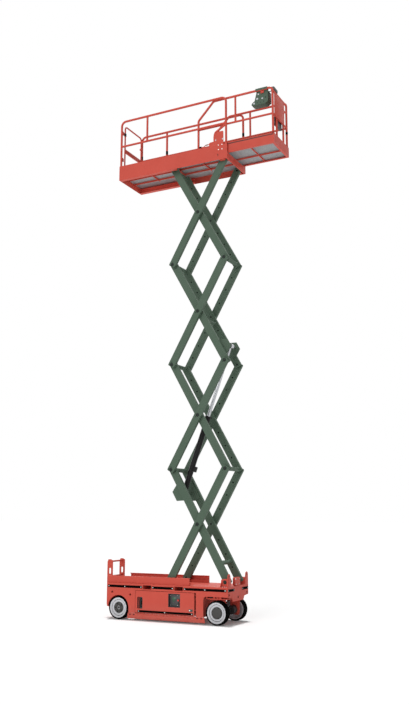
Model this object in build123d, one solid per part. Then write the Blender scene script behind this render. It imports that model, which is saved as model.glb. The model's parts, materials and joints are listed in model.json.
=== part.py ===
from build123d import *
import os
from math import asin, atan2, cos, degrees, hypot, radians, sin

# Scissor lift, raised, with its roll-out deck extended.
# Millimetres. X points forward, to the roll-out end. Y points left, Z points up.
# The origin is on the floor, below the middle of the overall length.

# Driving sizes: wheels and chassis
WHEEL_RADIUS = 190.5
TYRE_WIDTH = 127.0
OVERALL_WIDTH = 810.0
REAR_OVERHANG = 228.0
FRONT_OVERHANG = 204.0
CHASSIS_LENGTH = 2282.0
STRIP_THICK = 5.0
SIDE_THICK = 8.0
PLATE_THICK = 8.0
CHASSIS_BOTTOM = 117.0
BAND_BOTTOM = 488.0
CHASSIS_TOP = 590.0
LADDER_REACH = 140.0

# Driving sizes: scissor stack
ARM_LENGTH = 2085.0
ARM_DEPTH = 125.0
ARM_WIDTH = 55.0
ARM_WALL = 5.0
ARM_GAP = 10.0
ARM_OUTER_FACE = 315.0
ARM_END = 37.0
RAISED_ANGLE = 60.65
STACK_GAP = 6.0
PIVOT_ABOVE_CHASSIS = 78.0
PIVOT_SETBACK = 82.0
STAGES = 4
PIN_RADIUS = 20.0
PIN_HEAD_RADIUS = 30.0
PIN_HEAD = 6.0
CROSS_TUBE_RADIUS = 36.0
ROLLER_RADIUS = 30.0
ROLLER_WIDTH = 36.0
CHANNEL_WALL = 8.0
LUG_PLATE = 14.0

# Driving sizes: platform and roll-out deck
DECK_LENGTH = 2244.0
DECK_FRONT_AHEAD = 29.0
DECK_HALF_WIDTH = 399.0
EXTENSION_REACH = 877.0
EXTENSION_OVERLAP = 625.0
FLOOR_ABOVE_PIVOT = 80.0
FLOOR_THICK = 4.0
FASCIA_HEIGHT = 278.0
RAIL_HEIGHT = 1085.0
MID_RAIL_HEIGHT = 560.0
RAIL_RADIUS = 17.0
EXT_RAIL_RADIUS = 15.0
RAIL_BEND = 90.0

# Clearances
MOVE_GAP = 6.0
PIN_GAP = 0.05
SEAT_GAP = 0.3
ROLL_GAP = 2.0

# Places along X, worked out from the driving sizes
OVERALL_LENGTH = LADDER_REACH + CHASSIS_LENGTH + DECK_FRONT_AHEAD + EXTENSION_REACH
X_LADDER = -OVERALL_LENGTH / 2
X_REAR = X_LADDER + LADDER_REACH
X_FRONT = X_REAR + CHASSIS_LENGTH
X_REAR_AXLE = X_REAR + REAR_OVERHANG
X_FRONT_AXLE = X_FRONT - FRONT_OVERHANG
X_PIVOT = X_FRONT - PIVOT_SETBACK
X_DECK_FRONT = X_FRONT + DECK_FRONT_AHEAD
X_DECK_REAR = X_DECK_FRONT - DECK_LENGTH
X_EXT_FRONT = X_DECK_FRONT + EXTENSION_REACH
X_EXT_REAR = X_DECK_FRONT - EXTENSION_OVERLAP
EXTENSION_TRAVEL = EXTENSION_REACH - MOVE_GAP - 1.0

# Scissor geometry
PIVOT_HEIGHT = CHASSIS_TOP + PIVOT_ABOVE_CHASSIS
STAGE = ARM_LENGTH * sin(radians(RAISED_ANGLE))
SPAN = ARM_LENGTH * cos(radians(RAISED_ANGLE))
STOWED_ANGLE = degrees(asin((ARM_DEPTH + STACK_GAP) / ARM_LENGTH))
X_SLIDE = X_PIVOT - SPAN
TOP_PIVOT = PIVOT_HEIGHT + STAGES * STAGE
OUTER_IN = ARM_OUTER_FACE - ARM_WIDTH
INNER_OUT = OUTER_IN - ARM_GAP
INNER_IN = INNER_OUT - ARM_WIDTH
ROLLER_IN = ARM_OUTER_FACE + MOVE_GAP
ROLLER_OUT = ROLLER_IN + ROLLER_WIDTH

# Widths
WHEEL_OUT = OVERALL_WIDTH / 2
WHEEL_IN = WHEEL_OUT - TYRE_WIDTH
WHEEL_MID = WHEEL_OUT - TYRE_WIDTH / 2
SIDE_OUT = WHEEL_OUT - STRIP_THICK
SIDE_IN = SIDE_OUT - SIDE_THICK

PARTS = {}


def box(x0, x1, y0, y1, z0, z1):
    """A block between two opposite corners."""
    centre = ((x0 + x1) / 2, (y0 + y1) / 2, (z0 + z1) / 2)
    return Pos(*centre) * Box(abs(x1 - x0), abs(y1 - y0), abs(z1 - z0))


def rod(start, end, radius):
    """A round bar from one point to another."""
    a, b = Vector(*start), Vector(*end)
    place = Plane(origin=a, z_dir=(b - a))
    return place * Cylinder(radius, (b - a).length, align=(Align.CENTER, Align.CENTER, Align.MIN))


def cross_bar(x, z, y0, y1, radius):
    """A round bar along Y."""
    return rod((x, y0, z), (x, y1, z), radius)


def plate_xz(points, y0, y1):
    """A plate with an outline in X and Z, between two Y places."""
    face = make_face(Plane.XZ * Polyline(*points, close=True))
    return Pos(0, y0, 0) * extrude(face, amount=y1 - y0, dir=(0, 1, 0))


def plate_yz(points, x0, x1):
    """A plate with an outline in Y and Z, between two X places."""
    face = make_face(Plane.YZ * Polyline(*points, close=True))
    return Pos(x0, 0, 0) * extrude(face, amount=x1 - x0, dir=(1, 0, 0))


def bent_tube(points, bend, radius):
    """A round tube along straight runs joined by arcs."""
    path = FilletPolyline(*points, radius=bend)
    start = Plane(origin=path @ 0, z_dir=path % 0)
    return sweep(start * Circle(radius), path=path)


def both_sides(shape):
    """The shape and its mirror image on the other side of the machine."""
    return [shape, mirror(shape, about=Plane.XZ)]


def fused(shapes):
    """One solid from shapes that touch."""
    whole = shapes[0]
    for shape in shapes[1:]:
        whole = whole + shape
    return whole


def add(name, shapes):
    """Write down a node as one solid or as several that don't touch."""
    shapes = shapes if isinstance(shapes, list) else [shapes]
    solids = [solid for shape in shapes for solid in shape.solids()]
    PARTS[name] = Compound(children=solids) if len(solids) > 1 else solids[0]


# Scissor arms

ARM_CORNER = 22.0
BOSS_RADIUS = 34.0


def arm_bar(y0, y1, sense):
    """One hollow arm from its first pin at the origin along X, bored for three pins."""
    first, last = -ARM_END, ARM_LENGTH + ARM_END
    half = ARM_DEPTH / 2
    bar = box(sense * first, sense * last, y0, y1, -half, half)
    bar = fillet(bar.edges().filter_by(Axis.Y), ARM_CORNER)
    inner = half - ARM_WALL
    bar = bar - box(sense * (first - 1), sense * (last + 1), y0 + ARM_WALL, y1 - ARM_WALL, -inner, inner)
    for along in (0, ARM_LENGTH / 2, ARM_LENGTH):
        bar = bar + cross_bar(sense * along, 0, y0, y1, BOSS_RADIUS)
    for along in (0, ARM_LENGTH / 2, ARM_LENGTH):
        bar = bar - cross_bar(sense * along, 0, y0 - 1, y1 + 1, PIN_RADIUS + PIN_GAP)
    return bar


# Lift cylinder pins, measured along their arm and square to it
LOW_EYE_ALONG = 0.8106 * ARM_LENGTH
LOW_EYE_OFF = 124.0
HIGH_EYE_STAGE = 3
HIGH_EYE_ALONG = 0.1305 * ARM_LENGTH
HIGH_EYE_OFF = 121.0
EYE_PIN_RADIUS = 22.0
BRACKET_THICK = 12.0
EYE_MARGIN = 70.0
LOW_BRACKET_TIP = 88.0
BRACKET_ROOT = 30.0
BRACKET_WIDEN = 75.0

BRACKET_OUT = INNER_IN - MOVE_GAP
BRACKET_IN = BRACKET_OUT - BRACKET_THICK


def eye_bracket(outline):
    """A pair of plates inside the inner arms that hold a cylinder's eye between them."""
    plate = plate_xz(outline, BRACKET_IN, BRACKET_OUT)
    pad_from, pad_to = min(p[0] for p in outline), max(p[0] for p in outline)
    pad = box(pad_from, pad_to, BRACKET_OUT, INNER_IN, -BRACKET_ROOT, BRACKET_ROOT)
    return both_sides(plate) + both_sides(pad)




def bracket_outline(along, off, margin):
    """The outline of a bracket plate, wide at the arm and narrower round its eye."""
    half = margin + BRACKET_WIDEN
    side = 1 if off > 0 else -1
    tip, root, knee = off + side * margin, -side * BRACKET_ROOT, side * ARM_DEPTH / 2
    points = [(-along + half, root), (-along + half, knee), (-along + margin, tip),
              (-along - margin, tip), (-along - half, knee), (-along - half, root)]
    return points


LOW_BRACKET = bracket_outline(LOW_EYE_ALONG, -LOW_EYE_OFF, LOW_BRACKET_TIP)
HIGH_BRACKET = bracket_outline(HIGH_EYE_ALONG, HIGH_EYE_OFF, EYE_MARGIN)
FIRST_TUBE_ALONG = 330.0
CLEAR_TUBE_ALONG = 0.42 * ARM_LENGTH


def inner_frame(stage):
    """The inner pair of arms of one stage, from its lower front pin up to its upper rear pin."""
    bars = both_sides(arm_bar(INNER_IN, INNER_OUT, -1))
    first_tube = {1: FIRST_TUBE_ALONG, HIGH_EYE_STAGE: CLEAR_TUBE_ALONG}.get(stage, 0)
    tubes = [cross_bar(-along, 0, -INNER_IN, INNER_IN, CROSS_TUBE_RADIUS)
             for along in (first_tube, ARM_LENGTH)]
    pieces = bars + tubes
    if stage == 1:
        pieces += eye_bracket(LOW_BRACKET)
        pieces.append(cross_bar(-LOW_EYE_ALONG, -LOW_EYE_OFF, -BRACKET_OUT, BRACKET_OUT, EYE_PIN_RADIUS))
    if stage == HIGH_EYE_STAGE:
        pieces += eye_bracket(HIGH_BRACKET)
    low = PIVOT_HEIGHT + (stage - 1) * STAGE
    return Pos(X_PIVOT, 0, low) * Rot(0, RAISED_ANGLE, 0) * fused(pieces)


def outer_pair(stage):
    """The outer pair of arms of one stage, from its lower rear pin up to its upper front pin."""
    low = PIVOT_HEIGHT + (stage - 1) * STAGE
    bar = arm_bar(OUTER_IN, ARM_OUTER_FACE, 1)
    return [Pos(X_SLIDE, 0, low) * Rot(0, -RAISED_ANGLE, 0) * side for side in both_sides(bar)]


def headed_pin(x, z, inner_y, outer_y):
    """A hinge pin with a round head on the outer arm's face."""
    return cross_bar(x, z, inner_y, outer_y, PIN_RADIUS) + cross_bar(
        x, z, outer_y, outer_y + PIN_HEAD, PIN_HEAD_RADIUS)


def stage_pins(stage):
    """The hinge pins that one outer pair carries, as far as the inner arms' inner face."""
    low = PIVOT_HEIGHT + (stage - 1) * STAGE
    places = [((X_PIVOT + X_SLIDE) / 2, low + STAGE / 2)]
    if stage > 1:
        places.append((X_SLIDE, low))
    if stage < STAGES:
        places.append((X_PIVOT, low + STAGE))
    pins = []
    for x, z in places:
        pins += both_sides(headed_pin(x, z, INNER_IN + SEAT_GAP, ARM_OUTER_FACE))
    if stage == 1:
        pins += both_sides(slide_roller(X_SLIDE, PIVOT_HEIGHT, OUTER_IN))
    if stage == STAGES:
        pins += both_sides(cross_bar(X_PIVOT, TOP_PIVOT, OUTER_IN, ROLLER_IN + LUG_PLATE, PIN_RADIUS))
    return pins


def slide_roller(x, z, inner_y):
    """A roller on its pin, at the sliding end of an arm."""
    return cross_bar(x, z, inner_y, ROLLER_IN, PIN_RADIUS) + cross_bar(
        x, z, ROLLER_IN, ROLLER_OUT, ROLLER_RADIUS)


for number in range(1, STAGES + 1):
    add(f"inner_arms_{number}", inner_frame(number))
    add(f"outer_arms_{number}", outer_pair(number))
    add(f"hinge_pins_{number}", stage_pins(number))
add("deck_rollers", both_sides(slide_roller(X_SLIDE, TOP_PIVOT, INNER_IN)))


# Lift cylinder

BARREL_RADIUS = 48.0
BARREL_SHARE_END = 40.0
ROD_RADIUS = 28.0
EYE_RADIUS = 46.0
EYE_WIDTH = 90.0
PORT_BLOCK = 46.0
PORT_ALONG = 420.0


def on_inner_arm(stage, along, off, angle):
    """The place of a point given along an inner arm and square to it, at one arm angle."""
    turn = radians(angle)
    low = PIVOT_HEIGHT + (stage - 1) * ARM_LENGTH * sin(turn)
    return (X_PIVOT - along * cos(turn) + off * sin(turn), low + along * sin(turn) + off * cos(turn))


def eye_to_eye(angle):
    """The lower eye's place, and the length and tilt of the cylinder, at one arm angle."""
    low = on_inner_arm(1, LOW_EYE_ALONG, -LOW_EYE_OFF, angle)
    high = on_inner_arm(HIGH_EYE_STAGE, HIGH_EYE_ALONG, HIGH_EYE_OFF, angle)
    run, rise = high[0] - low[0], high[1] - low[1]
    return low, hypot(run, rise), degrees(atan2(rise, run))


LOW_EYE, CYLINDER_LENGTH, CYLINDER_TILT = eye_to_eye(RAISED_ANGLE)
STOWED_CYLINDER = eye_to_eye(STOWED_ANGLE)[1]
STROKE = CYLINDER_LENGTH - STOWED_CYLINDER
BARREL_LENGTH = STOWED_CYLINDER - EYE_RADIUS - BARREL_SHARE_END
BORE_START = 2 * EYE_RADIUS


def eye(along):
    """A bored eye across the cylinder's axis."""
    return rod((along, -EYE_WIDTH / 2, 0), (along, EYE_WIDTH / 2, 0), EYE_RADIUS)


def eye_bore(along):
    """The hole in an eye."""
    return rod((along, -EYE_WIDTH, 0), (along, EYE_WIDTH, 0), EYE_PIN_RADIUS + PIN_GAP)


def lift_barrel():
    """The barrel with its lower eye, gland and port block, open at the top for the rod."""
    body = rod((0, 0, 0), (BARREL_LENGTH, 0, 0), BARREL_RADIUS)
    gland = rod((BARREL_LENGTH - BARREL_SHARE_END, 0, 0), (BARREL_LENGTH, 0, 0), BARREL_RADIUS + MOVE_GAP)
    port = box(PORT_ALONG, PORT_ALONG + 2 * PORT_BLOCK, -PORT_BLOCK / 2, PORT_BLOCK / 2,
               -BARREL_RADIUS - PORT_BLOCK, 0)
    bore = rod((BORE_START, 0, 0), (BARREL_LENGTH + 1, 0, 0), ROD_RADIUS + PIN_GAP)
    return body + gland + port + eye(0) - bore - eye_bore(0)


def lift_rod():
    """The chromed rod with its upper eye and cross pin, reaching back down into the barrel."""
    shaft = rod((BORE_START + STROKE + MOVE_GAP, 0, 0), (CYLINDER_LENGTH, 0, 0), ROD_RADIUS)
    half_pin = BRACKET_IN - SEAT_GAP
    pin = rod((CYLINDER_LENGTH, -half_pin, 0), (CYLINDER_LENGTH, half_pin, 0), EYE_PIN_RADIUS)
    return shaft + eye(CYLINDER_LENGTH) + pin


cylinder_place = Pos(LOW_EYE[0], 0, LOW_EYE[1]) * Rot(0, -CYLINDER_TILT, 0)
add("cylinder_barrel", cylinder_place * lift_barrel())
add("cylinder_rod", cylinder_place * lift_rod())


# Chassis

DOOR_REAR = X_REAR_AXLE + 338.0
DOOR_FRONT = X_FRONT_AXLE - 374.0
DOOR_LENGTH = DOOR_FRONT - DOOR_REAR
DOOR_BOTTOM = CHASSIS_BOTTOM + 12.0
DOOR_TOP = BAND_BOTTOM - MOVE_GAP
REAR_ARCH_RADIUS = WHEEL_RADIUS + 15.0
FRONT_ARCH_REAR = X_FRONT_AXLE - 234.0
FRONT_ARCH_TOP = 439.0
FRONT_ARCH_CORNER = 60.0
REAR_TAIL_BOTTOM = 205.0
FORK_WIDTH = 158.0
FORK_BOTTOM = 508.0
FORK_TOP = 572.0
FORK_WALL = 5.0
FORK_CENTRES = (X_REAR + 0.3458 * CHASSIS_LENGTH, X_REAR + 0.6091 * CHASSIS_LENGTH)
WELL_HALF = INNER_IN + MOVE_GAP
WELL_DEPTH = 62.0
SPINE_OUT = WELL_HALF + PLATE_THICK
WELL_REAR = X_REAR + 0.066 * CHASSIS_LENGTH
WELL_FRONT = X_REAR + 0.364 * CHASSIS_LENGTH
SIDE_HOLE_RADIUS = 17.0
SIDE_HOLES = ((X_REAR_AXLE - 125.0, 444.0), (X_REAR_AXLE + 233.0, 413.0))


def fork_blocks(y0, y1, wall):
    """The two fork pockets as blocks, grown all round by a wall."""
    return [box(x - FORK_WIDTH / 2 - wall, x + FORK_WIDTH / 2 + wall, y0, y1, FORK_BOTTOM - wall, FORK_TOP + wall)
            for x in FORK_CENTRES]


def fork_pockets():
    """Two rectangular tubes through the chassis for the tines of a fork-lift truck."""
    outsides = fork_blocks(-SIDE_OUT, SIDE_OUT, FORK_WALL)
    insides = fork_blocks(-WHEEL_OUT, WHEEL_OUT, 0)
    return [outside - inside for outside, inside in zip(outsides, insides)]


def side_band():
    """The left upper band of the side, cut for the fork pockets."""
    band = box(X_REAR, X_FRONT - PLATE_THICK, SIDE_IN, SIDE_OUT, BAND_BOTTOM + SEAT_GAP, CHASSIS_TOP)
    for cut in fork_blocks(SIDE_IN - 1, SIDE_OUT + 1, FORK_WALL + SEAT_GAP):
        band = band - cut
    return band


def side_plate():
    """The left side plate below the band, with its wheel arches and door opening."""
    y0, y1 = SIDE_IN, SIDE_OUT
    plate = box(X_REAR, X_FRONT - PLATE_THICK, y0, y1, CHASSIS_BOTTOM, BAND_BOTTOM)
    cuts = []
    cuts.append(box(DOOR_REAR - MOVE_GAP, DOOR_FRONT + MOVE_GAP, y0 - 1, y1 + 1,
                    DOOR_BOTTOM - MOVE_GAP, CHASSIS_TOP))
    cuts.append(cross_bar(X_REAR_AXLE, WHEEL_RADIUS, y0 - 1, y1 + 1, REAR_ARCH_RADIUS))
    cuts.append(box(X_REAR - 1, X_REAR_AXLE + REAR_ARCH_RADIUS, y0 - 1, y1 + 1,
                    CHASSIS_BOTTOM - 1, REAR_TAIL_BOTTOM))
    arch = box(FRONT_ARCH_REAR, X_FRONT + FRONT_ARCH_CORNER, y0 - 1, y1 + 1,
               CHASSIS_BOTTOM - FRONT_ARCH_CORNER, FRONT_ARCH_TOP)
    cuts.append(fillet(arch.edges().filter_by(Axis.Y), FRONT_ARCH_CORNER * 0.9))
    for x, z in SIDE_HOLES:
        cuts.append(cross_bar(x, z, y0 - 1, y1 + 1, SIDE_HOLE_RADIUS))
    for cut in cuts:
        plate = plate - cut
    return plate


AXLE_PLATE = 26.0
KINGPIN_RADIUS = 24.0
BULKHEAD_REAR = X_REAR_AXLE + REAR_ARCH_RADIUS + 8.0
BULKHEAD_FRONT = FRONT_ARCH_REAR - PLATE_THICK


def base_frame():
    """Top plates, spine, bulkheads, front axle plate and rear plate, welded as one frame."""
    t = PLATE_THICK
    x_end = X_FRONT - PLATE_THICK
    top = box(X_REAR, x_end, -SIDE_IN, SIDE_IN, CHASSIS_TOP - t, CHASSIS_TOP)
    top = top - box(WELL_REAR, WELL_FRONT, -WELL_HALF, WELL_HALF, CHASSIS_TOP - 2 * t, CHASSIS_TOP + t)
    spine_top = FORK_BOTTOM - FORK_WALL - SEAT_GAP
    spine = box(BULKHEAD_REAR, BULKHEAD_FRONT + t, SPINE_OUT - t, SPINE_OUT, CHASSIS_BOTTOM, spine_top)
    spine_floor = box(BULKHEAD_REAR, BULKHEAD_FRONT + t, -SPINE_OUT, SPINE_OUT, CHASSIS_BOTTOM, CHASSIS_BOTTOM + t)
    walls = [box(x, x + t, -SIDE_IN, SIDE_IN, CHASSIS_BOTTOM, CHASSIS_TOP - t)
             for x in (BULKHEAD_REAR, BULKHEAD_FRONT)]
    rear = box(X_REAR, X_REAR + t, -SIDE_IN, SIDE_IN, REAR_TAIL_BOTTOM, CHASSIS_TOP - t)
    axle = box(BULKHEAD_FRONT + t, x_end, -SIDE_IN, SIDE_IN, FRONT_ARCH_TOP, FRONT_ARCH_TOP + AXLE_PLATE)
    web = box(BULKHEAD_FRONT + t, x_end, SPINE_OUT - t, SPINE_OUT, FRONT_ARCH_TOP + AXLE_PLATE, CHASSIS_TOP - t)
    whole = fused([top, *both_sides(spine), spine_floor, *walls, rear, axle, *both_sides(web)])
    whole = whole - box(WELL_REAR, WELL_FRONT, -WELL_HALF, WELL_HALF, CHASSIS_TOP - WELL_DEPTH, CHASSIS_TOP)
    for y in (-WHEEL_MID, WHEEL_MID):
        whole = whole - Pos(X_FRONT_AXLE, y, FRONT_ARCH_TOP) * Cylinder(
            KINGPIN_RADIUS + PIN_GAP, 4 * AXLE_PLATE)
    return whole


HORN_Y = 348.0
HORN_HALF = 24.0
HORN_TOP = CHASSIS_TOP + 210.0
FRONT_LOW = 360.0
FRONT_EDGE_LOW = 432.0
FRONT_STEP_Y = 222.0
TIE_HOLE_RADIUS = 20.0
TIE_HOLE_Z = 470.0
CENTRE_HOLE_Z = 420.0


def front_plate():
    """The front plate with its two horns, tapered lower edge and tie-down holes."""
    half = [(0, FRONT_LOW), (FRONT_STEP_Y - 20, FRONT_LOW), (FRONT_STEP_Y + 20, FRONT_EDGE_LOW - 8),
            (SIDE_OUT - 14, FRONT_EDGE_LOW), (SIDE_OUT, FRONT_EDGE_LOW + 14), (SIDE_OUT, CHASSIS_TOP),
            (HORN_Y + HORN_HALF, CHASSIS_TOP + 12), (HORN_Y + HORN_HALF, HORN_TOP - 24),
            (HORN_Y + HORN_HALF / 3, HORN_TOP), (HORN_Y - HORN_HALF / 3, HORN_TOP),
            (HORN_Y - HORN_HALF, HORN_TOP - 24), (HORN_Y - HORN_HALF - 8, CHASSIS_TOP + 12), (0, CHASSIS_TOP)]
    plate = fused(both_sides(plate_yz(half, X_FRONT - PLATE_THICK, X_FRONT)))
    for y, z in ((-HORN_Y, TIE_HOLE_Z), (0, CENTRE_HOLE_Z), (HORN_Y, TIE_HOLE_Z)):
        plate = plate - rod((X_FRONT - 2 * PLATE_THICK, y, z), (X_FRONT + PLATE_THICK, y, z), TIE_HOLE_RADIUS)
    return plate


LUG_OUT = 330.0
LUG_HALF = 72.0
LUG_TOP = PIVOT_HEIGHT + 46.0
LUG_CORNER = 28.0


def pivot_lug():
    """The left block that holds the first inner arm's lower pin."""
    lug = box(X_PIVOT - LUG_HALF, X_PIVOT + LUG_HALF, INNER_OUT + MOVE_GAP, LUG_OUT, CHASSIS_TOP, LUG_TOP)
    upper = lug.edges().filter_by(Axis.Y).group_by(Axis.Z)[-1]
    return fillet(upper, LUG_CORNER) - cross_bar(X_PIVOT, PIVOT_HEIGHT, 0, SIDE_OUT, PIN_RADIUS + PIN_GAP)


def slide_channel(x0, x1, pivot_z, low_edge, roll_to_web):
    """A left C channel round a slide roller, from a lower edge up past the roller."""
    web_in = ROLLER_OUT + roll_to_web
    web_out = web_in + CHANNEL_WALL
    flange_in = ROLLER_IN + MOVE_GAP
    low_top = pivot_z - ROLLER_RADIUS - ROLL_GAP
    high_bottom = pivot_z + ROLLER_RADIUS + ROLL_GAP
    web = box(x0, x1, web_in, web_out, low_edge, high_bottom + CHANNEL_WALL)
    low = box(x0, x1, flange_in, web_in, low_edge, low_top)
    high = box(x0, x1, flange_in, web_in, high_bottom, high_bottom + CHANNEL_WALL)
    return fused([web, low, high])


CHANNEL_END = 50.0
BASE_CHANNEL_FRONT = X_SLIDE + 396.0
add("base_frame", base_frame())
add("pivot_lugs", both_sides(pivot_lug()))
add("pivot_pins", both_sides(cross_bar(X_PIVOT, PIVOT_HEIGHT, INNER_IN + SEAT_GAP, LUG_OUT, PIN_RADIUS)
                             + cross_bar(X_PIVOT, PIVOT_HEIGHT, LUG_OUT, LUG_OUT + PIN_HEAD, PIN_HEAD_RADIUS)))
add("slide_channels", both_sides(slide_channel(X_REAR, BASE_CHANNEL_FRONT, PIVOT_HEIGHT, CHASSIS_TOP, ROLL_GAP)))

# Cover of the front wiring, between the first arms
COVER_HALF = 100.0
COVER_DEPTH = 44.0
COVER_TOP = CHASSIS_TOP + 138.0
COVER_FOOT = 12.0
cover = box(X_FRONT - PLATE_THICK - COVER_DEPTH, X_FRONT - PLATE_THICK - SEAT_GAP, -COVER_HALF, COVER_HALF,
            CHASSIS_TOP + COVER_FOOT, COVER_TOP)
cover = fillet(cover.edges().filter_by(Axis.X).group_by(Axis.Z)[-1], COVER_DEPTH / 3)
cover_foot = box(X_FRONT - PLATE_THICK - COVER_DEPTH, X_FRONT - PLATE_THICK - SEAT_GAP, -COVER_HALF / 2, COVER_HALF / 2,
                 CHASSIS_TOP + SEAT_GAP, CHASSIS_TOP + COVER_FOOT)
add("front_plate", [front_plate(), cover + cover_foot])

# Entry ladder
STRINGER_Y = 190.0
STRINGER_THICK = 8.0
STRINGER_WIDE = 112.0
LADDER_TOP = CHASSIS_TOP + 376.0
LADDER_BOTTOM = 172.0
SLOT_LOW = CHASSIS_TOP + 130.0
SLOT_HIGH = SLOT_LOW + 101.0
SLOT_HALF = 20.0
RUNG_RADIUS = 13.0
RUNG_HEIGHTS = (240.0, 460.0, CHASSIS_TOP + 90.0, CHASSIS_TOP + 340.0)
STRINGER_TOE = 40.0


def stringer():
    """The left ladder stringer with its hand slot, wider below where it bolts to the rear plate."""
    x0, x1 = X_LADDER, X_LADDER + STRINGER_WIDE
    outline = [(x0 + STRINGER_TOE, LADDER_BOTTOM), (X_REAR, LADDER_BOTTOM), (X_REAR, CHASSIS_TOP),
               (x1, CHASSIS_TOP + STRINGER_TOE), (x1, LADDER_TOP - STRINGER_TOE / 2), (x1 - STRINGER_TOE, LADDER_TOP),
               (x0 + STRINGER_TOE / 2, LADDER_TOP), (x0, LADDER_TOP - STRINGER_TOE),
               (x0, LADDER_BOTTOM + STRINGER_TOE)]
    plate = plate_xz(outline, STRINGER_Y, STRINGER_Y + STRINGER_THICK)
    x_slot = (x0 + x1) / 2
    slot = box(x_slot - SLOT_HALF, x_slot + SLOT_HALF, 0, SIDE_OUT, SLOT_LOW, SLOT_HIGH)
    return plate - fillet(slot.edges().filter_by(Axis.Y), SLOT_HALF * 0.95)


rungs = [cross_bar(X_LADDER + STRINGER_WIDE / 2, z, -STRINGER_Y, STRINGER_Y, RUNG_RADIUS) for z in RUNG_HEIGHTS]
add("entry_ladder", fused(both_sides(stringer()) + rungs))

# Rubbing strips on the sides and front
STRIP_LOW = 520.0
STRIP_HIGH = 560.0
STRIP_END = 16.0
FRONT_STRIP = 250.0
strip_edges = [X_REAR + STRIP_END]
for fork_x in FORK_CENTRES:
    strip_edges += [fork_x - FORK_WIDTH / 2 - STRIP_END, fork_x + FORK_WIDTH / 2 + STRIP_END]
strip_edges.append(X_FRONT - PLATE_THICK - STRIP_END)
strips = []
for first, last in zip(strip_edges[0::2], strip_edges[1::2]):
    strips += both_sides(box(first, last, SIDE_OUT, SIDE_OUT + STRIP_THICK, STRIP_LOW, STRIP_HIGH))
strips += both_sides(box(X_FRONT, X_FRONT + STRIP_THICK, SIDE_OUT - FRONT_STRIP, SIDE_OUT - STRIP_END / 2,
                         STRIP_LOW, STRIP_HIGH))
add("rub_strips", strips)

# Swing-out trays
TRAY_WALL = 5.0
TRAY_IN = SPINE_OUT + MOVE_GAP
TRAY_SHORT = 60.0
TRAY_FRONT_GAP = 14.0
PANEL_REAR = DOOR_REAR + 0.5554 * DOOR_LENGTH
PANEL_LENGTH = 221.0
PANEL_LOW = 243.0
PANEL_HIGH = 458.0
PANEL_DEPTH = 46.0
HANDLE_REAR = DOOR_REAR + 37.0
HANDLE_LENGTH = 103.0
HANDLE_LOW = 194.0
HANDLE_HIGH = 382.0
HINGE_RADIUS = 8.0
HINGE_PIN_RADIUS = 5.0
HINGE_X = DOOR_FRONT - HINGE_RADIUS
HINGE_Y = SIDE_OUT - HINGE_RADIUS
HINGE_LENGTH = 50.0
HINGE_HEIGHTS = (DOOR_BOTTOM + 60.0, DOOR_TOP - 60.0)


def hinge_ears(z):
    """The left ears above and below one tray hinge, with the pin between them."""
    half = HINGE_LENGTH / 2
    r = HINGE_RADIUS
    pieces = [rod((HINGE_X, HINGE_Y, z - half - r), (HINGE_X, HINGE_Y, z + half + r), HINGE_PIN_RADIUS)]
    for low in (z - half - r, z + half + SEAT_GAP):
        ear = box(HINGE_X - r, DOOR_FRONT + 4 * r, HINGE_Y - r, HINGE_Y, low, low + r - SEAT_GAP)
        pieces.append(ear)
    return pieces


def tray_hinges():
    """The barrels that join the left tray to its hinge pins."""
    pieces = []
    for z in HINGE_HEIGHTS:
        low, high = z - HINGE_LENGTH / 2, z + HINGE_LENGTH / 2
        barrel = rod((HINGE_X, HINGE_Y, low), (HINGE_X, HINGE_Y, high), HINGE_RADIUS)
        leaf = box(HINGE_X - 2 * HINGE_RADIUS - MOVE_GAP, HINGE_X, HINGE_Y, SIDE_OUT - 1, low, high)
        hole = rod((HINGE_X, HINGE_Y, low - 1), (HINGE_X, HINGE_Y, high + 1), HINGE_PIN_RADIUS + PIN_GAP)
        pieces.append(barrel + leaf - hole)
    return pieces


def tray(with_panel):
    """The left tray: its door, floor, back and ends, open at the top, with the hinge barrel."""
    back, front = DOOR_REAR + TRAY_SHORT, DOOR_FRONT - TRAY_FRONT_GAP
    w = TRAY_WALL
    door = box(DOOR_REAR, DOOR_FRONT - 2 * HINGE_RADIUS - MOVE_GAP, SIDE_IN, SIDE_OUT, DOOR_BOTTOM, DOOR_TOP)
    handle = box(HANDLE_REAR, HANDLE_REAR + HANDLE_LENGTH, SIDE_IN - 1, SIDE_OUT + 1, HANDLE_LOW, HANDLE_HIGH)
    door = door - fillet(handle.edges().filter_by(Axis.Y), HANDLE_LENGTH / 6)
    inside_top = DOOR_TOP - TRAY_SHORT
    x1 = front - 2 * HINGE_RADIUS - MOVE_GAP
    floor = box(back, x1, TRAY_IN, SIDE_IN, DOOR_BOTTOM, DOOR_BOTTOM + w)
    rear_wall = box(back, x1, TRAY_IN, TRAY_IN + w, DOOR_BOTTOM, inside_top)
    ends = [box(x, x + w, TRAY_IN, SIDE_IN, DOOR_BOTTOM, inside_top) for x in (back, x1 - w)]
    whole = fused([door, floor, rear_wall, *ends, *tray_hinges()])
    if with_panel:
        whole = whole - box(PANEL_REAR, PANEL_REAR + PANEL_LENGTH, SIDE_IN - 1, SIDE_OUT + 1, PANEL_LOW, PANEL_HIGH)
    return whole


def side_with_ears():
    """The left side plate with the tray's hinge ears."""
    ears = [ear for z in HINGE_HEIGHTS for ear in hinge_ears(z)]
    return fused([side_plate(), *ears])


add("side_plates", both_sides(side_with_ears()) + both_sides(side_band()))
add("fork_pockets", fork_pockets())
add("left_tray", tray(False))
add("right_tray", mirror(tray(True), about=Plane.XZ))

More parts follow.
